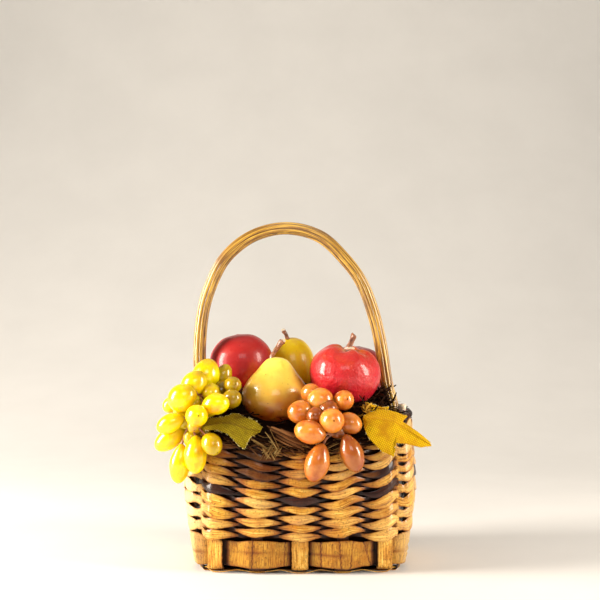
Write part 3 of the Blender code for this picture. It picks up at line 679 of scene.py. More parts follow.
def base_band():
    """The wide band round the foot of the wall, which passes outside every second stake, with its cracks."""
    rng = random.Random(5)
    obj, u, out, across = new_ring("foot_band", 2 * RING_STATIONS, 36, 0.35)
    wave = -np.cos(math.pi * u)
    # Straight from the edge of one stake to the edge of the next.
    side = np.clip((np.arccos(np.cos(math.pi * u)) / math.pi - 0.5) / 0.29, -1, 1)
    middle, half = (BAND_LOW + BAND_HIGH) / 2, (BAND_HIGH - BAND_LOW) / 2
    # The lower edge bows down a little between the stakes.
    bow = 0.35 * MM * np.maximum(0, wave) * np.maximum(0, -across)
    z = middle + across * (half + 0.1 * MM * wobble(u, rng, 6, 30)) + 0.1 * MM * wobble(u, rng, 3, 9) - bow
    crease_height = CREASE_HEIGHT + 0.15 * MM * wobble(u, rng, 3, 12)
    crease = np.exp(-(((z - crease_height) / (0.28 * MM)) ** 2)) * (out > 0)
    bulge = 0.3 * MM * (1 - across**2) * np.maximum(side, 0)
    spot, _ = wall_point(u, z)
    # At the corners it reaches up under the rows that climb there.
    z = z + 0.8 * MM * np.maximum(0, side) * np.maximum(0, across)
    z = z + 1.7 * MM * clamp(np.abs(spot[:, 0]) / (34 * MM)) ** 8 * np.maximum(0, across)
    front = spot[:, 1] < 0
    cracks = np.zeros_like(u)
    for place, slope, width in CRACKS:
        off = (spot[:, 0] / MM - place - slope * (z / MM - 6.7) - 0.12 * np.sin(z / MM * 3 + place)) / width
        cracks = np.maximum(cracks, np.exp(-(off**2)) * front * (out > 0))
    depth = BAND_OFFSET * side + bulge - 0.22 * MM * crease - 0.15 * MM * cracks + 0.35 * MM * out
    depth = depth + 0.05 * MM * wobble(u, rng, 20, 60)
    # The end of the splint is crumpled at the right corner.
    corner = clamp((spot[:, 0] / MM - 33.5) / 2)
    crumple = corner * clamp(1.4 - np.abs(z / MM - 6) / 3) * front
    depth = depth + 0.3 * MM * crumple * np.sin(2.6 * z / MM + 0.6 * spot[:, 0] / MM)
    points, _ = wall_point(u, z, depth)
    # Painted shade where it dives behind a stake, along the crease and along its edges, the lower one most;
    # darker along the cracks too.
    dive = clamp((-0.5 - wave) / 0.25) * (np.abs(spot[:, 0]) < 33 * MM)
    edge = 0.45 * np.abs(across) ** 18 + 0.35 * clamp(-across - 0.7)
    stain = 0.95 * dive + edge + 0.95 * crease + 0.8 * cracks
    # Painted light: the band is paler at the ends of the basket.
    build(
        obj, points, ROUND_LENGTH, 18 * MM, bark_ash, "splint", ["base_band"],
        stain=clamp(stain), pale=0.35 * clamp((np.abs(spot[:, 0]) / MM - 32) / 3),
    )


def foot_edge():
    """The thin edge of the outermost base splint, which waves under the stakes and shows below the band."""
    rng = random.Random(6)
    obj, u, out, across = new_ring("foot_edge", RING_STATIONS, 8, 0.7)
    wave = np.cos(math.pi * u)
    z = (1.35 - 0.75 * np.abs(wave) ** 1.5 - 0.35 * np.maximum(wave, 0)) * MM
    z = z + 0.08 * MM * wobble(u, rng, 5, 20)
    depth = (-0.35 + 0.25 * np.abs(wave)) * MM
    points, _ = wall_point(u, np.maximum(z, 0.3 * MM), depth + 0.2 * MM * out)
    points[:, 2] += 0.13 * MM * across
    build(obj, points, ROUND_LENGTH, 4 * MM, ash, "splint", stain=0.0)


foot_edge()
base_band()


# The splints

SPLINT_STATIONS, SPLINT_LENGTH = 260, 150 * MM


def splint(name, stakes, along, crossings, levels):
    """One splint: up the wall as a stake at both ends, and woven across the base between them."""
    along = np.array(along, float)
    base_across = np.cross(along, UP)
    ends = [wall_point(stake, HIGH_LEVEL + BEND_RADIUS) for stake in stakes]
    side = base_across * (ends[0][0][0] @ base_across)
    rows = []
    for stake, (foot, outward), way, level in zip(stakes, ends, (1, -1), (levels[0], levels[-1])):
        part = []
        top = min(rim_low(np.array([(stake + step) % STAKES]))[0] for step in (-0.2, 0.2)) - 2 * GAP
        for height in (top, *STAKE_HEIGHTS, HIGH_LEVEL + BEND_RADIUS):
            point, out = wall_point(stake, height)
            width = STAKE_WIDTH if height > BAND_HIGH else SPLINT_WIDTH
            part.append((*point[0], *(np.cross(UP, out[0]) * way), *out[0], width))
        for turn in (35, 65, 90):
            c, s = math.cos(math.radians(turn)), math.sin(math.radians(turn))
            spot = foot[0] @ along + way * BEND_RADIUS * (1 - c)
            drop = (HIGH_LEVEL + BEND_RADIUS - level) * s
            point = side + along * spot + UP * (HIGH_LEVEL + BEND_RADIUS - drop)
            across = unit(blend(np.cross(UP, outward[0]) * way, base_across, turn / 90))
            facing = -way * along * c - UP * s
            facing = unit(facing - across * (facing @ across))
            part.append((*point, *across, *facing, SPLINT_WIDTH))
        if way > 0:
            rows += part
            for crossing, height in zip(crossings, levels):
                for edge in (-1, 1):
                    spot = side + along * (crossing + edge * (SPLINT_WIDTH / 2 + GAP)) + UP * height
                    rows.append((*spot, *base_across, *-UP, SPLINT_WIDTH))
        else:
            rows += part[::-1]
    rng = random.Random(name)
    obj, s, t = new_grid(f"bent_{name}", SPLINT_STATIONS, 16)
    place = at(smooth(rows, SPLINT_STATIONS + 1), s)
    out, across = flat_round(t, 0.4)
    outward = unit(place[:, 6:9])
    sideways = unit(place[:, 3:6])
    wide = place[:, 9] / 2 * (1 + 0.02 * wobble(s * STAKES, rng, 10, 60))
    lift = SPLINT_THICKNESS / 2 * out + 0.10 * MM * across**2 * np.sign(place[:, 2] - 2 * MM)
    points = place[:, :3] + sideways * (across * wide)[:, None] + outward * lift[:, None]
    height = points[:, 2]
    # Painted shade: above the band the stakes are painted dark, where the rows cover them.
    hidden = clamp((height - BAND_HIGH - 0.5 * MM) / (1.5 * MM)) * 0.9
    # The stakes that the band covers are dark in its shade.
    covered = 0.9 * np.array([stake % 2 for stake in stakes])[(s > 0.5).astype(int)] * (height > 0.5 * MM)
    stain = clamp(0.3 * np.abs(across) ** 6 + np.maximum(hidden, covered))
    shift = rng.uniform(0, 90)
    build(obj, points, SPLINT_LENGTH, 12 * MM, ash, "splint", [name], shift, ends=True, stain=stain)


for i in range(len(FRONT_STAKES)):
    levels = [HIGH_LEVEL if (i + j) % 2 == 0 else LOW_LEVEL for j in range(len(SIDE_STAKES))]
    opposite = STAKES // 2 + len(FRONT_STAKES) - 1 - i
    splint(f"splint_front_back_{i + 1}", (i, opposite), (0, 1, 0), SIDE_STAKES, levels)
for j in range(len(SIDE_STAKES)):
    levels = [LOW_LEVEL if (i + j) % 2 == 0 else HIGH_LEVEL for i in range(len(FRONT_STAKES))]
    opposite = len(FRONT_STAKES) + j
    splint(f"splint_left_right_{j + 1}", (STAKES - 1 - j, opposite), (1, 0, 0), FRONT_STAKES, levels)


# The rim

RIM_TURNS = 96
RIM_MIDDLE = 1.1 * MM


def rim_core():
    """The bound splint, which shows only between the windings."""
    obj, u, out, across = new_ring("rim_core", 256, 12, 0.8)
    points, _ = wall_point(u, rim_low(u) + RIM_MIDDLE + 0.95 * MM * across, 1.2 * MM * out)
    build(obj, points, ROUND_LENGTH, 8 * MM, brown_ash, "stained_splint", stain=0.3)


def rim_binding():
    """A dark fibre wound round the rim's core in a close spiral."""
    rng = random.Random(8)
    obj, u, out, across = new_ring("rim_binding", RIM_TURNS * 16, 6, 0.7)
    turn = u / STAKES * RIM_TURNS * math.tau
    # Across the winding is along the rim.
    u = (u + across * 0.058 * (1 + 0.3 * wobble(u, rng, 8, 60))) % STAKES
    radius = 1 + 0.12 * out + 0.08 * wobble(u, rng, 20, 90)
    height = rim_low(u) + RIM_MIDDLE + 1.2 * MM * radius * np.sin(turn)
    points, _ = wall_point(u, height, 1.55 * MM * radius * np.cos(turn))
    stain = clamp(0.25 + 0.3 * wobble(u, rng, 20, 60))
    build(obj, points, RIM_TURNS * 9 * MM, 3 * MM, brown_ash, "stained_splint", ["rim"], stain=stain)


rim_core()
rim_binding()


# The handle

HANDLE_ROUTE = (
    (-33.7, 20), (-33.7, 36), (-33.9, 52), (-36.1, 70), (-35.2, 86.5), (-32.2, 98), (-26.6, 108.4),
    (-17, 116), (-5, 118.8), (7, 115.9), (16, 107.8), (22.2, 99.2), (26.3, 88.5), (29, 77), (31.2, 63),
    (33.3, 53.5), (33.7, 36), (33.7, 20),
)
HANDLE_RADIUS, HANDLE_GIRTH, HANDLE_LENGTH = 2.35 * MM, 14.8 * MM, 250 * MM
HANDLE_STATIONS, STRANDS = 240, 8


def handle():
    """A bundle of cane strands along the route, with a groove between each two."""
    route = smooth([(x * MM, 0, z * MM) for x, z in HANDLE_ROUTE], HANDLE_STATIONS + 1)
    ahead = unit(np.gradient(route, axis=0))
    obj, s, t = new_grid("cane_handle", HANDLE_STATIONS, 80)
    place, along = at(route, s), unit(at(ahead, s))
    level = np.array((0.0, 1.0, 0.0))
    out = unit(np.cross(along, level))
    rng = random.Random(3)
    angle = math.tau * t
    groove = 1 - np.abs(np.sin(STRANDS * angle / 2)) ** 0.55
    radius = HANDLE_RADIUS * (1 - 0.13 * groove + 0.015 * wobble(s * STAKES, rng, 3, 20))
    points = place + radius[:, None] * (np.cos(angle)[:, None] * level + np.sin(angle)[:, None] * out)
    # Painted shade: the grooves between the strands are painted dark; the inner side of the arch is marked
    # for the material's dark streaks.
    build(
        obj, points, HANDLE_LENGTH, HANDLE_GIRTH, cane, "cane", ["handle"], ends=True, angle=60,
        stain=clamp(groove * 2.2 - 0.9), inside=clamp(-np.sin(angle) * 1.3),
    )


handle()


# The fruit


def turned_fruit(name, node, finish, outline, centre, lean, lobes, dents):
    """A ball whose rings follow an outline of (radius, height) in millimetres from bottom to top."""
    obj, ball, rise = new_ball(name, 80, 56)
    line = at(smooth(outline, 400), rise)
    angle = np.arctan2(ball[:, 1], ball[:, 0])
    highest = max(height for _, height in outline)
    swell = 1 + lobes * np.cos(5 * angle) * np.maximum(0, line[:, 1] / highest)
    radius = np.maximum(line[:, 0], 0) * (1 + dents * (np.sin(2 * angle + 1) + np.sin(3 * angle + 4 * rise)))
    points = np.stack((radius * np.cos(angle), radius * np.sin(angle), line[:, 1] * swell), 1) * MM
    (sin_x, cos_x), (sin_y, cos_y) = ((math.sin(turn), math.cos(turn)) for turn in np.radians(lean))
    spun_x = np.array(((1, 0, 0), (0, cos_x, -sin_x), (0, sin_x, cos_x)))
    spun_y = np.array(((cos_y, 0, sin_y), (0, 1, 0), (-sin_y, 0, cos_y)))
    move_points(obj, points @ (spun_y @ spun_x).T + np.array(centre) * MM)
    paint(obj, "rise", rise)
    close_skin(obj)
    finish_piece(obj, finish, [node], angle=80)


PEAR = (
    (0, 0.4), (6, 0.2), (10.3, 3.4), (11.9, 8.6), (10.6, 13.8), (7.1, 18.4), (5.2, 20.9), (3.6, 22.6),
    (1.7, 23.4), (0, 23.5),
)
SMALL_PEAR = ((0, 0.3), (5.2, 0.4), (8.3, 4), (8.6, 9), (7.7, 14.5), (5, 18.6), (2, 20.2), (0, 20.4))
APPLE = (
    (0, -8.4), (4, -9.8), (9.6, -7.2), (12.4, -1), (11.7, 4.6), (8.4, 8.4), (4.6, 9.4), (1.6, 8.2), (0, 6.8),
)
ROUND_LEFT = ((0, -10.9), (6.5, -9.2), (10.8, -4.4), (11.6, 0.6), (10.2, 5.8), (5.9, 10), (0, 11.2))
ROUND = ((0, -10.9), (6.4, -9.2), (10.6, -4.4), (11.4, 0.6), (10, 5.8), (5.8, 10), (0, 11.2))

for pear, node, finish, outline, centre, lean, dents in (
    ("pear_front_wax", "pear_front", pear_wax, PEAR, (-9.3, -9, 49.4), (0, 3.5), 0.008),
    ("pear_back_wax", "pear_back", small_pear_wax, SMALL_PEAR, (-3, 14.5, 58.6), (-4, 0), 0),
):
    turned_fruit(pear, node, finish, outline, centre, lean, 0, dents)
for fruit, node, finish, outline, centre, lean, lobes, dents in (
    ("red_left_wax", "red_fruit_left", red_wax, ROUND_LEFT, (-21.4, 7.4, 69.4), (0, -8), 0, 0.006),
    ("red_right_wax", "red_fruit_right", rosy_wax, APPLE, (15.7, -7, 66.6), (6, 9), 0.06, 0.012),
    ("red_back_wax", "red_fruit_back", plum_wax, ROUND, (21, 16.6, 64.6), (0, 6), 0, 0.01),
):
    turned_fruit(fruit, node, finish, outline, centre, lean, lobes, dents)


def rod(name, points, radii, sides=12, steps=24, ridges=0.0):
    """A bent stalk through points in millimetres, with a radius at each."""
    route = smooth(np.array(points, float) * MM, steps + 1)
    width = smooth(np.array(radii, float)[:, None] * MM, steps + 1)
    ahead = unit(np.gradient(route, axis=0))
    obj, s, t = new_grid(name, steps, sides)
    place, along = at(route, s), unit(at(ahead, s))
    side = unit(np.cross(along, (0.13, 1.0, 0.21)))
    up = np.cross(side, along)
    angle = math.tau * t
    radius = at(width, s)[:, 0] * (1 + ridges * np.sin(3 * angle + 9 * s))
    move_points(obj, place + radius[:, None] * (np.cos(angle)[:, None] * side + np.sin(angle)[:, None] * up))
    length = np.linalg.norm(np.diff(route, axis=0), axis=1).sum()
    measure_uv(obj, length, math.tau * max(radii) * MM)
    paint(obj, "stain", 0.0)
    close_skin(obj, ends=True)
    return obj


STALKS = {
    "pear_front_stem": (
        ((-10.2, -9.4, 72.4), (-9.6, -9.4, 73.8), (-8.6, -9.4, 75.4), (-7.2, -9.4, 77.2), (-6.0, -9.4, 78.6)),
        (0.85, 0.75, 0.75, 0.95, 1.15),
    ),
    "pear_back_stem": (
        ((-4.4, 13.2, 78.2), (-4.9, 13.2, 79.4), (-5.5, 13.2, 80.5), (-6.1, 13.2, 81.6)),
        (0.8, 0.7, 0.7, 0.85),
    ),
    "red_fruit_right_stem": (
        ((17.2, -8, 74.6), (17.5, -8, 76.6), (18.2, -8, 78.6), (19.0, -8, 80.4), (19.3, -8, 80.8)),
        (1.6, 1.15, 0.9, 1.1, 0.8),
    ),
}
for name, (points, radii) in STALKS.items():
    finish_piece(rod(name + "_wire", points, radii, ridges=0.12), wire, [name])


# The grapes


def grape(centre, half_width, half_length, direction, tint, rng):
    """A drop from a ball, a little thinner at the stalk, with its long axis along the direction."""
    obj, ball, rise = new_ball("grape", 32, 22)
    slim = 1 - 0.22 * np.maximum(0, ball[:, 2]) ** 1.5 * (half_length / half_width - 1) * 2
    lean = rng.uniform(-0.05, 0.05) * ball[:, 2] ** 2
    local = np.stack((ball[:, 0] * slim + lean, ball[:, 1] * slim, ball[:, 2]), 1)
    local = local * (half_width, half_width, half_length)
    turn = np.array(Vector((0, 0, 1)).rotation_difference(Vector(direction).normalized()).to_matrix())
    move_points(obj, (local @ turn.T + np.array(centre)) * MM)
    paint(obj, "rise", rise)
    paint(obj, "tint", tint)
    return obj


YELLOW_GRAPES = (
    ((-32.8, -13, 66.6), 4.9, 6.2, (0.35, 0.1, 1), 0), ((-36.4, -18, 63.9), 4.4, 5.3, (0.7, -0.2, 1), 0.1),
    ((-40, -22, 59.7), 4.8, 5.4, (0.8, -0.4, 0.6), 0), ((-44, -17, 57), 2.9, 3.6, (1, 0.2, 0.5), 0.05),
    ((-34.5, -29, 54.3), 3.8, 4.6, (-0.2, 1, -0.1), 0.05),
    ((-28.4, -26, 58), 3.7, 4.8, (-1, 0.2, -0.15), 0),
    ((-23.3, -21.5, 59.3), 3.3, 4, (-0.6, 1, -0.2), 0.85),
    ((-26.8, -11, 66.5), 2.9, 4.3, (-0.3, -0.2, -1), 0.7),
    ((-23.2, -18, 63.7), 3, 3.6, (-0.4, 1, -0.2), 0.8),
    ((-43.9, -23, 51.2), 3.3, 5.2, (0.9, -0.1, 0.42), 0),
    ((-44.2, -19.5, 45.9), 3.7, 6.5, (0.8, 0, 0.62), 0),
    ((-40.8, -22.5, 37.5), 3.6, 6.9, (0.1, -0.05, 1), 0), ((-35.2, -26, 41), 3.9, 6.5, (0, 0.1, 1), 0.05),
    ((-29.5, -28.5, 44.9), 3.5, 4.3, (-0.5, 0.6, 0.6), 0.6),
)
ORANGE_GRAPES = (
    ((6.8, -23.5, 59.1), 4.2, 4.7, (-1, 0.2, -0.2), 0),
    ((3.6, -20.5, 61.3), 3.2, 3.6, (-0.6, 0.6, -0.4), 0.1),
    ((14.8, -23.5, 59), 3.5, 4, (-0.3, 1, -0.2), 0.1), ((0.2, -25, 55.2), 4, 4.6, (1, 0.4, 0.2), 0.25),
    ((10.6, -31, 52.9), 4.2, 4.9, (-0.1, 1, -0.1), 0),
    ((16.6, -28, 51.8), 3.6, 4.6, (-0.7, 0.6, 0.3), 0.35),
    ((3.4, -31.8, 49.2), 4, 5.4, (1, -0.1, -0.25), 0.1),
    ((5.8, -32.4, 39.2), 4.2, 6.6, (0.3, 0.05, 1), 0.4),
    ((17.1, -31.8, 42.3), 3.9, 6.6, (-0.35, 0.05, 1), 0.65),
)
# The second layer of grapes, which fills the gaps between those in front.
YELLOW_FILLERS = (
    ((-30.4, -18.5, 61.2), 3.3, 3.8, (0.2, 1, 0.3), 0.3),
    ((-36.2, -20.5, 57.2), 3.6, 4.2, (0.6, 1, 0), 0.25),
    ((-31.2, -22, 56.2), 3.2, 3.8, (0.2, 1, -0.2), 0.4),
    ((-40.2, -18.5, 55.6), 3.4, 4, (-0.8, 0.5, 0), 0.2), ((-40, -20.5, 52), 3, 3.6, (-0.6, 0.5, 0.3), 0.35),
    ((-35.6, -23, 50.6), 3, 3.4, (0, 1, 0.5), 0.5), ((-37, -22.5, 46.4), 2.8, 3.6, (0, 0.3, 1), 0.5),
    ((-33.6, -15.5, 60), 3.6, 4, (0.4, 1, 0.4), 0.35), ((-27.2, -13.5, 61.6), 3.4, 3.8, (0.2, 1, 0.2), 0.9),
    ((-32.6, -20.5, 49.4), 3, 3.6, (0.3, 1, 0.2), 0.6),
)
# Painted shade: the orange fillers' high tints darken them to stand for the dark gaps between the grapes in
# front.
ORANGE_FILLERS = (
    ((9.6, -25.5, 56), 3.6, 4, (0.2, 1, 0.3), 0.8), ((5.2, -27.5, 54), 3.2, 3.8, (0.2, 1, -0.2), 0.8),
    ((12.6, -27.5, 49.6), 3, 3.6, (0.2, 1, 0.2), 0.7),
)


def bunch(name, grapes, fillers, fork, root, hub, hanging, finish, node):
    """Grapes on stalks from a hub, the hanging ones from a fork below it. The root holds the hub."""
    rng = random.Random(name)
    parts = [grape(*values, rng) for values in grapes + fillers]
    finish_piece(join(name, parts), finish, [node], angle=80)
    stalks = []
    for i, (centre, _, half_length, direction, _) in enumerate(grapes):
        end = np.array(centre) + np.array(Vector(direction).normalized()) * half_length * 0.92
        start = fork if i in hanging else hub
        middle = (np.array(start) + end) / 2 + (0, 0, 0.6)
        stalks.append(rod(f"stalk_{i}", (start, middle, end), (0.42, 0.34, 0.4), sides=7, steps=8))
    for end in (fork, root):
        middle = (np.array(hub) + np.array(end)) / 2 + (0.3, 0, 0.5)
        stalks.append(rod("stalk_main", (hub, middle, end), (0.6, 0.55, 0.6), sides=8, steps=10))
    finish_piece(join(name + "_stalks", stalks), wire)


# The numbers in brackets are the grapes that hang from the fork.
bunch(
    "yellow_grapes", YELLOW_GRAPES, YELLOW_FILLERS, (-37.2, -25, 51.5), (-25.5, -12, 56), (-34.5, -20.5, 60),
    (9, 10, 11, 12, 13), yellow_vinyl, "grapes_yellow",
)
bunch(
    "orange_grapes", ORANGE_GRAPES, ORANGE_FILLERS, (10.4, -31, 48.2), (7, -17.5, 53), (8.6, -26, 56),
    (4, 6, 7, 8), orange_vinyl, "grapes_orange",
)


# The leaves

LEFT_LEAF = (
    ((-33.4, -25.6, 48.8), (-32.8, -25, 50.4), (-31.2, -24, 53)),
    ((-27.5, -28.6, 49.4), (-27, -27.4, 51.6), (-26, -25.6, 53.6)),
    ((-24.2, -30, 48.3), (-23.6, -28.4, 51.8), (-22.2, -25.4, 54.4)),
    ((-21, -31, 45.7), (-20.4, -29.2, 51), (-19.2, -26.2, 53.8)),
    ((-18.4, -31, 43.8), (-17.6, -29.4, 50), (-16.4, -26.8, 53.2)),
    ((-16.4, -31, 47.4), (-15.4, -29.6, 49.8), (-14.4, -27.6, 52.2)),
    ((-13.4, -29.8, 48.8), (-13, -29.2, 49.5), (-12.6, -28.4, 50.4)),
)
RIGHT_LEAF = (
    ((21.2, -26.6, 52.2), (21.2, -26, 53.2), (21.4, -25.2, 54)),
    ((21.9, -30, 48.9), (22.4, -27.6, 53.4), (23.6, -24, 55.2)),
    ((23.2, -31, 46.6), (25, -27.8, 53.4), (26.4, -23.4, 55.6)),
    ((27.2, -31, 42.4), (28.4, -27.6, 52.8), (29.4, -22.8, 55.2)),
    ((31.3, -30, 40.9), (31.8, -26.8, 52.2), (32.8, -22, 54.6)),
    ((31.9, -28.6, 45.7), (33.4, -26, 51), (36.6, -21, 53.5)),
    ((34, -27.9, 45.1), (34.6, -25.6, 50.4), (34.5, -22.4, 51.8)),
    ((36, -27.2, 44.6), (37, -25, 48.9), (36.6, -22.6, 50.7)),
    ((41, -25, 43.2), (40.6, -24.3, 46.4), (39.8, -22.8, 48.6)),
    ((44.6, -23.2, 43.3), (44.4, -22.8, 43.9), (44.2, -22.4, 44.5)),
)
SMALL_LEAF = (
    ((20.4, -20.6, 56), (20.8, -20.2, 56.6), (21.2, -19.6, 57)),
    ((22.4, -20.4, 55.4), (22.8, -19.6, 56.6), (23.2, -18.6, 57.4)),
    ((25.4, -20, 55.4), (25.8, -19.2, 56.2), (26.2, -18.2, 56.8)),
    ((30.2, -18.9, 55.2), (30.4, -18.4, 55.6), (30.6, -17.8, 56)),
)
CLOTH_THICKNESS = 0.3 * MM
THREAD_LENGTH = 0.65 * MM


def leaf(name, stations, finish, nodes, seed):
    """A cut cloth leaf through stations from stem to tip: lower edge, midrib and upper edge."""
    obj, s, t = new_grid(name, 56, 24)
    low, rib, high = (at(np.array(stations)[:, i] * MM, s) for i in range(3))
    lower, upper = clamp(1 - 2 * t)[:, None], clamp(2 * t - 1)[:, None]
    points = rib + (low - rib) * lower + (high - rib) * upper
    fold = 1 - np.abs(2 * t - 1)
    ripple = 0.45 * MM * np.sin(8 * s + 5 * t) * (1 - fold)
    ripple = ripple + 0.25 * MM * np.sin(17 * s - 6 * t + seed) * (1 - fold)
    points[:, 1] += ripple - 0.5 * MM * np.exp(-((1 - fold) / 0.1) ** 2)
    points[:, 2] += 0.5 * ripple
    move_points(obj, points)
    # The threads run straight, so the UV map is the leaf as seen from the front.
    set_uv(obj, points[corners_of(obj)][:, (0, 2)] / MM)
    vein = np.exp(-(((2 * t - 1) / 0.05) ** 2))
    for start in (0.2, 0.4, 0.6):
        side = s - start - 0.35 * np.abs(2 * t - 1)
        vein = np.maximum(vein, 0.6 * np.exp(-((side / 0.012) ** 2)))
    # Darker along the dyed veins, over the upper half towards the stem, and along the lower edge.
    paint(obj, "stain", clamp(0.7 * vein + 0.55 * (t > 0.52) * (1 - s) + 0.3 * np.exp(-t / 0.02)))
    thicken(obj, CLOTH_THICKNESS)
    finish_piece(obj, finish, nodes, angle=60)
    return points, s, t


def thin_strips(name, lines, width, thickness, finish, tints):
    """Thin flat strips along many lines: one strip's grid, copied with its own points for each line."""
    steps = len(lines[0]) - 1
    master, s, t = new_grid(name + "_strip", steps, 4)
    faces = corners_of(master).reshape(-1, 4)
    uv = uv_of(master)
    angle = math.tau * t
    points, quads, maps, tones = [], [], [], []
    station = np.round(s * steps).astype(int)
    narrow = 1 - 0.5 * np.abs(2 * s - 1) ** 3
    for number, line in enumerate(lines):
        line = np.asarray(line, float)
        ahead = unit(np.gradient(line, axis=0))
        reference = np.array((math.sin(number * 1.7), math.cos(number * 2.3), math.sin(number * 0.9) + 0.3))
        side = unit(np.cross(ahead, reference))
        up = np.cross(side, ahead)
        wide = (width * narrow * np.cos(angle))[:, None] * side[station] / 2
        tall = (thickness * narrow * np.sin(angle))[:, None] * up[station] / 2
        quads.append(faces + len(points) * len(s))
        points.append(line[station] + wide + tall)
        maps.append(uv * (np.linalg.norm(line[-1] - line[0]) / MM * 1.2, 2 * width / MM) + (number * 3.1, 0))
        tones.append(np.full(len(s), tints[number % len(tints)]))
    mesh = bpy.data.meshes.new(name)
    mesh.from_pydata(np.vstack(points).tolist(), [], np.vstack(quads).tolist())
    mesh.uv_layers.new(name="UVMap")
    obj = bpy.data.objects.new(name, mesh)
    set_uv(obj, np.vstack(maps))
    bpy.context.scene.collection.objects.link(obj)
    bpy.data.objects.remove(master, do_unlink=True)
    paint(obj, "tint", np.concatenate(tones))
    close_skin(obj, ends=True)
    finish_piece(obj, finish, angle=60)


def frayed_edge(name, spots, count, seed):
    """Loose thread ends that stand out of a cut edge, given its points and the outward directions."""
    rng = random.Random(seed)
    lines = []
    for _ in range(count):
        i = rng.randrange(len(spots) - 1)
        here = blend(spots[i][0], spots[i + 1][0], rng.random())
        way = spots[i][1] + scatter(rng, 0.8) * 0.6
        reach = unit(way) * rng.uniform(0.4, 1.0) * THREAD_LENGTH
        curl = scatter(rng) * 0.15 * MM
        lines.append([here - reach * 0.5, here + curl, here + reach * 0.5, here + reach])
    tints = [rng.random() for _ in range(17)]
    thin_strips(name, lines, 0.16 * MM, 0.12 * MM, thread, tints)


def leaf_edges(points, s, t):
    """The points round a leaf's cut edge, each with the direction out of the leaf."""
    spots = []
    for rim_t, inner_t in ((0.0, 0.25), (1.0, 0.75)):
        on_rim, inside = np.isclose(t, rim_t), np.isclose(t, inner_t, atol=0.02)
        edge, inner = (points[found][np.argsort(s[found])] for found in (on_rim, inside))
        spots += [(a, unit(a - b)) for a, b in zip(edge, inner)]
    return spots


for name, stations, finish, node, seed in (
    ("left_leaf_cloth", LEFT_LEAF, left_cloth, "leaf_left", 1),
    ("right_leaf_cloth", RIGHT_LEAF, right_cloth, "leaf_right", 2),
    ("small_leaf_cloth", SMALL_LEAF, right_cloth, "leaf_small", 3),
):
    frayed_edge(name + "_threads", leaf_edges(*leaf(name, stations, finish, [node], seed)), 90, seed)


# The filling

MOUND_TOP = 62.5 * MM
FRONT_FALL, BACK_FALL = 2.0, 3.5


def mound_point(u, reach):
    """A point on top of the moss, by its direction and its reach, from 0 at the middle to 1 at the rim."""
    edge, _ = wall_point(u, rim_low(u), -FILLING_INSET)
    fall = blend(FRONT_FALL, BACK_FALL, (edge[:, 1] / HALF_DEPTHS[1] + 1) / 2)
    height = blend(MOUND_TOP, edge[:, 2], reach**fall)
    return np.stack((edge[:, 0] * reach, edge[:, 1] * reach, height), 1)


def mound():
    """The moss: a mound inside the wall, with a rough top."""
    rng = random.Random(11)
    obj, s, t = new_grid("moss_bed", 128, 60)
    u = s * STAKES
    top = clamp((t - 0.5) * 2)
    floor_z, wall_low = 2.4 * MM, 6 * MM
    reach = np.maximum(1 - top, 1e-4)
    above = mound_point(u, reach)
    down = clamp(t * 2)
    z = blend(floor_z, rim_low(u), down)
    below, _ = wall_point(u, np.maximum(z, wall_low), -FILLING_INSET)
    below[:, 2] = z
    below[:, :2] *= np.minimum(1, down * 8)[:, None]
    points = np.where((t > 0.5)[:, None], above, below)
    rough = 0.5 * MM * wobble(u, rng, 8, 40) * np.sin(23 * t) * np.minimum(1, reach * 3)
    points[:, 2] += np.where(t > 0.52, rough, 0)
    build(obj, points, ROUND_LENGTH, 90 * MM, moss, "moss", ["filling"], tint=0.1)


mound()

# Where each fibre's points are along it, from its middle.
ALONG = np.linspace(-0.5, 0.5, 9)


def wool(name, count, seed, where, size, width, lift, finish):
    """Curled fibres that lie on the moss. The function where gives each a direction and a reach."""
    rng = random.Random(seed)
    lines = []
    for _ in range(count):
        u, reach = where(rng)
        middle = mound_point(np.array([u % STAKES]), reach)[0] + UP * rng.uniform(*lift)
        heading, length = rng.uniform(0, math.tau), rng.uniform(*size)
        bend, rise = rng.uniform(-1.6, 1.6), rng.uniform(-0.3, 0.2)
        part = ALONG[:, None]
        turn = heading + bend * part
        flat = length * part * np.hstack((np.cos(turn), np.sin(turn), 0 * turn))
        lines.append(middle + flat + UP * (rise * length * (0.25 - part**2) * 2))
    tints = [rng.random() ** 2 for _ in range(61)]
    thin_strips(name, lines, width, 0.12 * MM, finish, tints)


wool(
    "moss_fibres", 900, 21, lambda rng: (rng.uniform(0, STAKES), rng.uniform(0.35, 1.0) ** 0.6),
    (5 * MM, 13 * MM), 0.45 * MM, (0, 1.1 * MM), moss,
)
wool(
    "straw_bits", 70, 22, lambda rng: (rng.uniform(0, STAKES), rng.uniform(0.8, 1.02)),
    (3 * MM, 9 * MM), 0.4 * MM, (0.5 * MM, 1.8 * MM), straw_fibre,
)


def rim_fibres(name, count, seed, stakes, heights, slopes, length, width, finish, tints, depth=(1.7, 2.9)):
    """Fibres along the outside of the rim, between two places round it and two heights above its foot."""
    rng = random.Random(seed)
    lines = []
    for _ in range(count):
        middle_u, height = rng.uniform(*stakes), rng.uniform(*heights) * MM
        slope, reach = rng.uniform(*slopes), rng.uniform(*length) * MM
        out, curl = rng.uniform(*depth) * MM, rng.uniform(-0.25, 0.25) * reach
        u = (middle_u + ALONG * reach / STAKE_PITCH) % STAKES
        z = rim_low(u) + height + slope * ALONG * reach + curl * (0.25 - ALONG**2)
        points, _ = wall_point(u, z, out - 3 * MM * ALONG**2 * rng.uniform(0, 0.8))
        lines.append(points)
    thin_strips(name, lines, width * MM, 0.14 * MM, finish, tints)


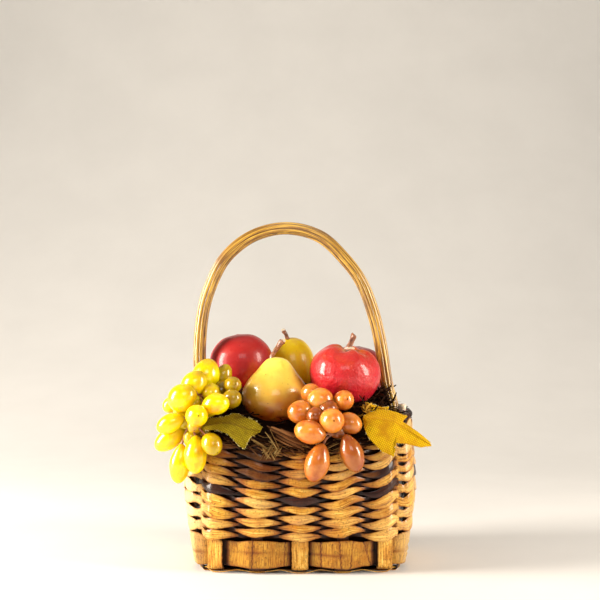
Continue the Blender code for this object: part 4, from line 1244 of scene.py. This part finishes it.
def curls(name, centre, spread, count, seed, radius, sweep, width, finish, tints):
    """Strips curled up in arcs round a place in millimetres."""
    rng = random.Random(seed)
    lines = []
    for _ in range(count):
        middle = np.array(centre) + scatter(rng) * spread
        first = unit(scatter(rng))
        second = unit(np.cross(first, scatter(rng)))
        angles = rng.uniform(0, math.tau) + rng.uniform(*sweep) * np.linspace(0, 1, 13)
        arc = rng.uniform(*radius) * (np.outer(np.cos(angles), first) + np.outer(np.sin(angles), second))
        lines.append((middle + arc - arc.mean(axis=0)) * MM)
    thin_strips(name, lines, width * MM, 0.14 * MM, finish, tints)


DARK_TINTS = (0.1, 0.25, 0.0, 0.5, 0.15, 0.8, 0.3)
rim_fibres("rim_wool", 420, 31, (0.2, 3.9), (-1.6, 3.4), (-0.5, 0.3), (4, 12), 0.5, moss, DARK_TINTS)
rim_fibres(
    "rim_wool_round", 600, 32, (7.5, 16), (-0.8, 1.4), (-0.3, 0.3), (4, 10), 0.5, moss, DARK_TINTS,
    (1.4, 2.2),
)
# A ribbed bundle of brown fibres right of the pear, and pale frayed ends left of it.
STRAW = (
    ("ribbed_bundle", 22, 33, (1.55, 1.95), (0.6, 4.4), (-0.44, -0.34), (7, 10), 0.75, brown_straw),
    ("frayed_tuft", 40, 34, (1.15, 1.5), (-3.8, -1.2), (-2.2, 2.2), (1.2, 3.0), 0.3, straw_fibre),
    ("split_splint", 3, 35, (0.95, 1.15), (-1.4, -0.4), (-0.62, -0.5), (4.5, 6), 0.8, straw_fibre),
    ("pale_stalks", 3, 36, (1.25, 1.45), (0.2, 1.2), (-2.4, -1.4), (3, 4), 0.34, straw_fibre),
    ("short_fibres", 260, 38, (0.3, 3.6), (-3.4, 0.6), (-0.8, 0.4), (1.5, 4.5), 0.34, brown_straw),
    ("straw_ends", 46, 37, (0.6, 3.2), (-3.0, 2.4), (-0.6, 0.5), (2.5, 6), 0.4, straw_fibre),
)
STRAW_TINTS_AND_DEPTHS = (
    ((0.2, 0.9, 0.4), (2.8, 3.4)), ((0.1, 0.6, 0.3, 0.9, 0.2), (2.7, 3.4)), ((0.5, 0.8, 0.3), (2.8, 3.3)),
    ((0.7, 0.5), (3.2, 3.6)), ((0.2, 0.6, 0.0, 0.4), (2.2, 3.0)), ((0.1, 0.4, 0.2, 0.7), (2.4, 3.2)),
)
for straw, (tints, depth) in zip(STRAW, STRAW_TINTS_AND_DEPTHS):
    rim_fibres(*straw, tints, depth)


# Dark wool that stands up between the red fruit and the handle, and pale shavings beside the right leaf.
curls("wool_by_handle", (28.4, -4, 57.6), (2.6, 4, 3.6), 130, 41, (4, 9), (0.6, 1.5), 0.7, moss, DARK_TINTS)
curls("wool_by_leaf", (21.5, -17, 55.2), (4, 5, 1.2), 110, 42, (2, 6), (0.8, 2.2), 0.6, moss, DARK_TINTS)
curls(
    "shavings_by_leaf", (22.4, -22.2, 56.0), (1.6, 1.0, 1.6), 9, 43, (1.0, 1.8), (2.5, 4.8), 0.8, shaving,
    (0.2, 0.8, 0.5),
)


# The glue


def blob(name, centre, size, seed):
    """A drop of glue: a small ball, pressed and pulled out of round."""
    rng = random.Random(seed)
    obj, ball, _ = new_ball(name, 20, 14)
    uneven = 1 + 0.12 * np.sin(3 * ball[:, 0] + rng.uniform(0, 6))
    uneven = uneven + 0.12 * np.sin(4 * ball[:, 2] + rng.uniform(0, 6))
    move_points(obj, (ball * uneven[:, None] * np.array(size) + np.array(centre)) * MM)
    finish_piece(obj, glue, angle=80)


blob("glue_handle_foot", (36.2, -5.5, 54.6), (1.7, 1.4, 1.5), 1)
blob("glue_red_stem", (17.4, -8.4, 75.6), (1.7, 1.5, 0.9), 2)
blob("glue_back_stem", (-6.1, 13.2, 81.8), (0.9, 0.8, 0.6), 4)
blob("glue_pear_stem", (-5.9, -9.4, 78.7), (0.9, 0.8, 0.6), 3)


# The camera, lights and floor

FOCAL_PIXELS, PHOTO_PIXELS = 1111.1, 600
SENSOR = 36.0
camera_data = bpy.data.cameras.new("camera")
camera = bpy.data.objects.new("camera", camera_data)
bpy.context.scene.collection.objects.link(camera)
camera_data.sensor_width = SENSOR
camera_data.lens = FOCAL_PIXELS / PHOTO_PIXELS * SENSOR
camera_data.clip_start = 0.01
camera.location = (0, -0.400, 0.093)
camera.rotation_euler = (math.radians(90), 0, 0)
bpy.context.scene.camera = camera


def studio_floor():
    """A pale floor that curves up into a backdrop."""
    obj, s, t = new_grid("studio_floor", 2, 48)
    run = t * 2.4
    back, radius = 0.9, 0.5
    arc = np.clip((run - back) / radius, 0, math.pi / 2)
    y = -0.7 + np.where(run < back, run, back + radius * np.sin(arc))
    z = np.where(run < back, 0, radius * (1 - np.cos(arc)) + np.maximum(0, run - back - radius * math.pi / 2))
    move_points(obj, np.stack(((s - 0.5) * 3.2, y, z), 1))
    obj.data.materials.append(plain_finish("matt_paper", 0xE4E2DE, 0xE8E6E2, 60, 0.0, Roughness=0.85))
    bpy.ops.object.shade_smooth()


studio_floor()


def soft_light(name, place, target, size, power, shade=0xFFFFFF):
    data = bpy.data.lights.new(name, "AREA")
    data.shape, data.size, data.size_y = "RECTANGLE", size[0], size[1]
    data.energy = power
    data.color = linear(shade)[:3]
    obj = bpy.data.objects.new(name, data)
    bpy.context.scene.collection.objects.link(obj)
    obj.location = place
    obj.rotation_euler = (Vector(target) - Vector(place)).to_track_quat("-Z", "Y").to_euler()


soft_light("key_left", (-0.48, -0.11, 0.20), (0, 0, 0.05), (0.16, 0.34), 6.6, 0xFFF6EA)
soft_light("key_right", (0.47, -0.16, 0.20), (0, 0, 0.05), (0.14, 0.32), 3.2, 0xFFF4E6)
soft_light("fill", (0.06, -0.60, 0.42), (0, 0, 0.05), (0.3, 0.2), 0.8)
soft_light("top", (0, 0.05, 0.75), (0, 0, 0.03), (0.6, 0.6), 0.5)

world = bpy.data.worlds.new("studio")
bpy.context.scene.world = world
world.use_nodes = True
background = world.node_tree.nodes["Background"]
background.inputs["Color"].default_value = linear(0xF4ECE0)
background.inputs["Strength"].default_value = 0.16
bpy.context.scene.view_settings.view_transform = "Standard"

bpy.context.view_layer.update()
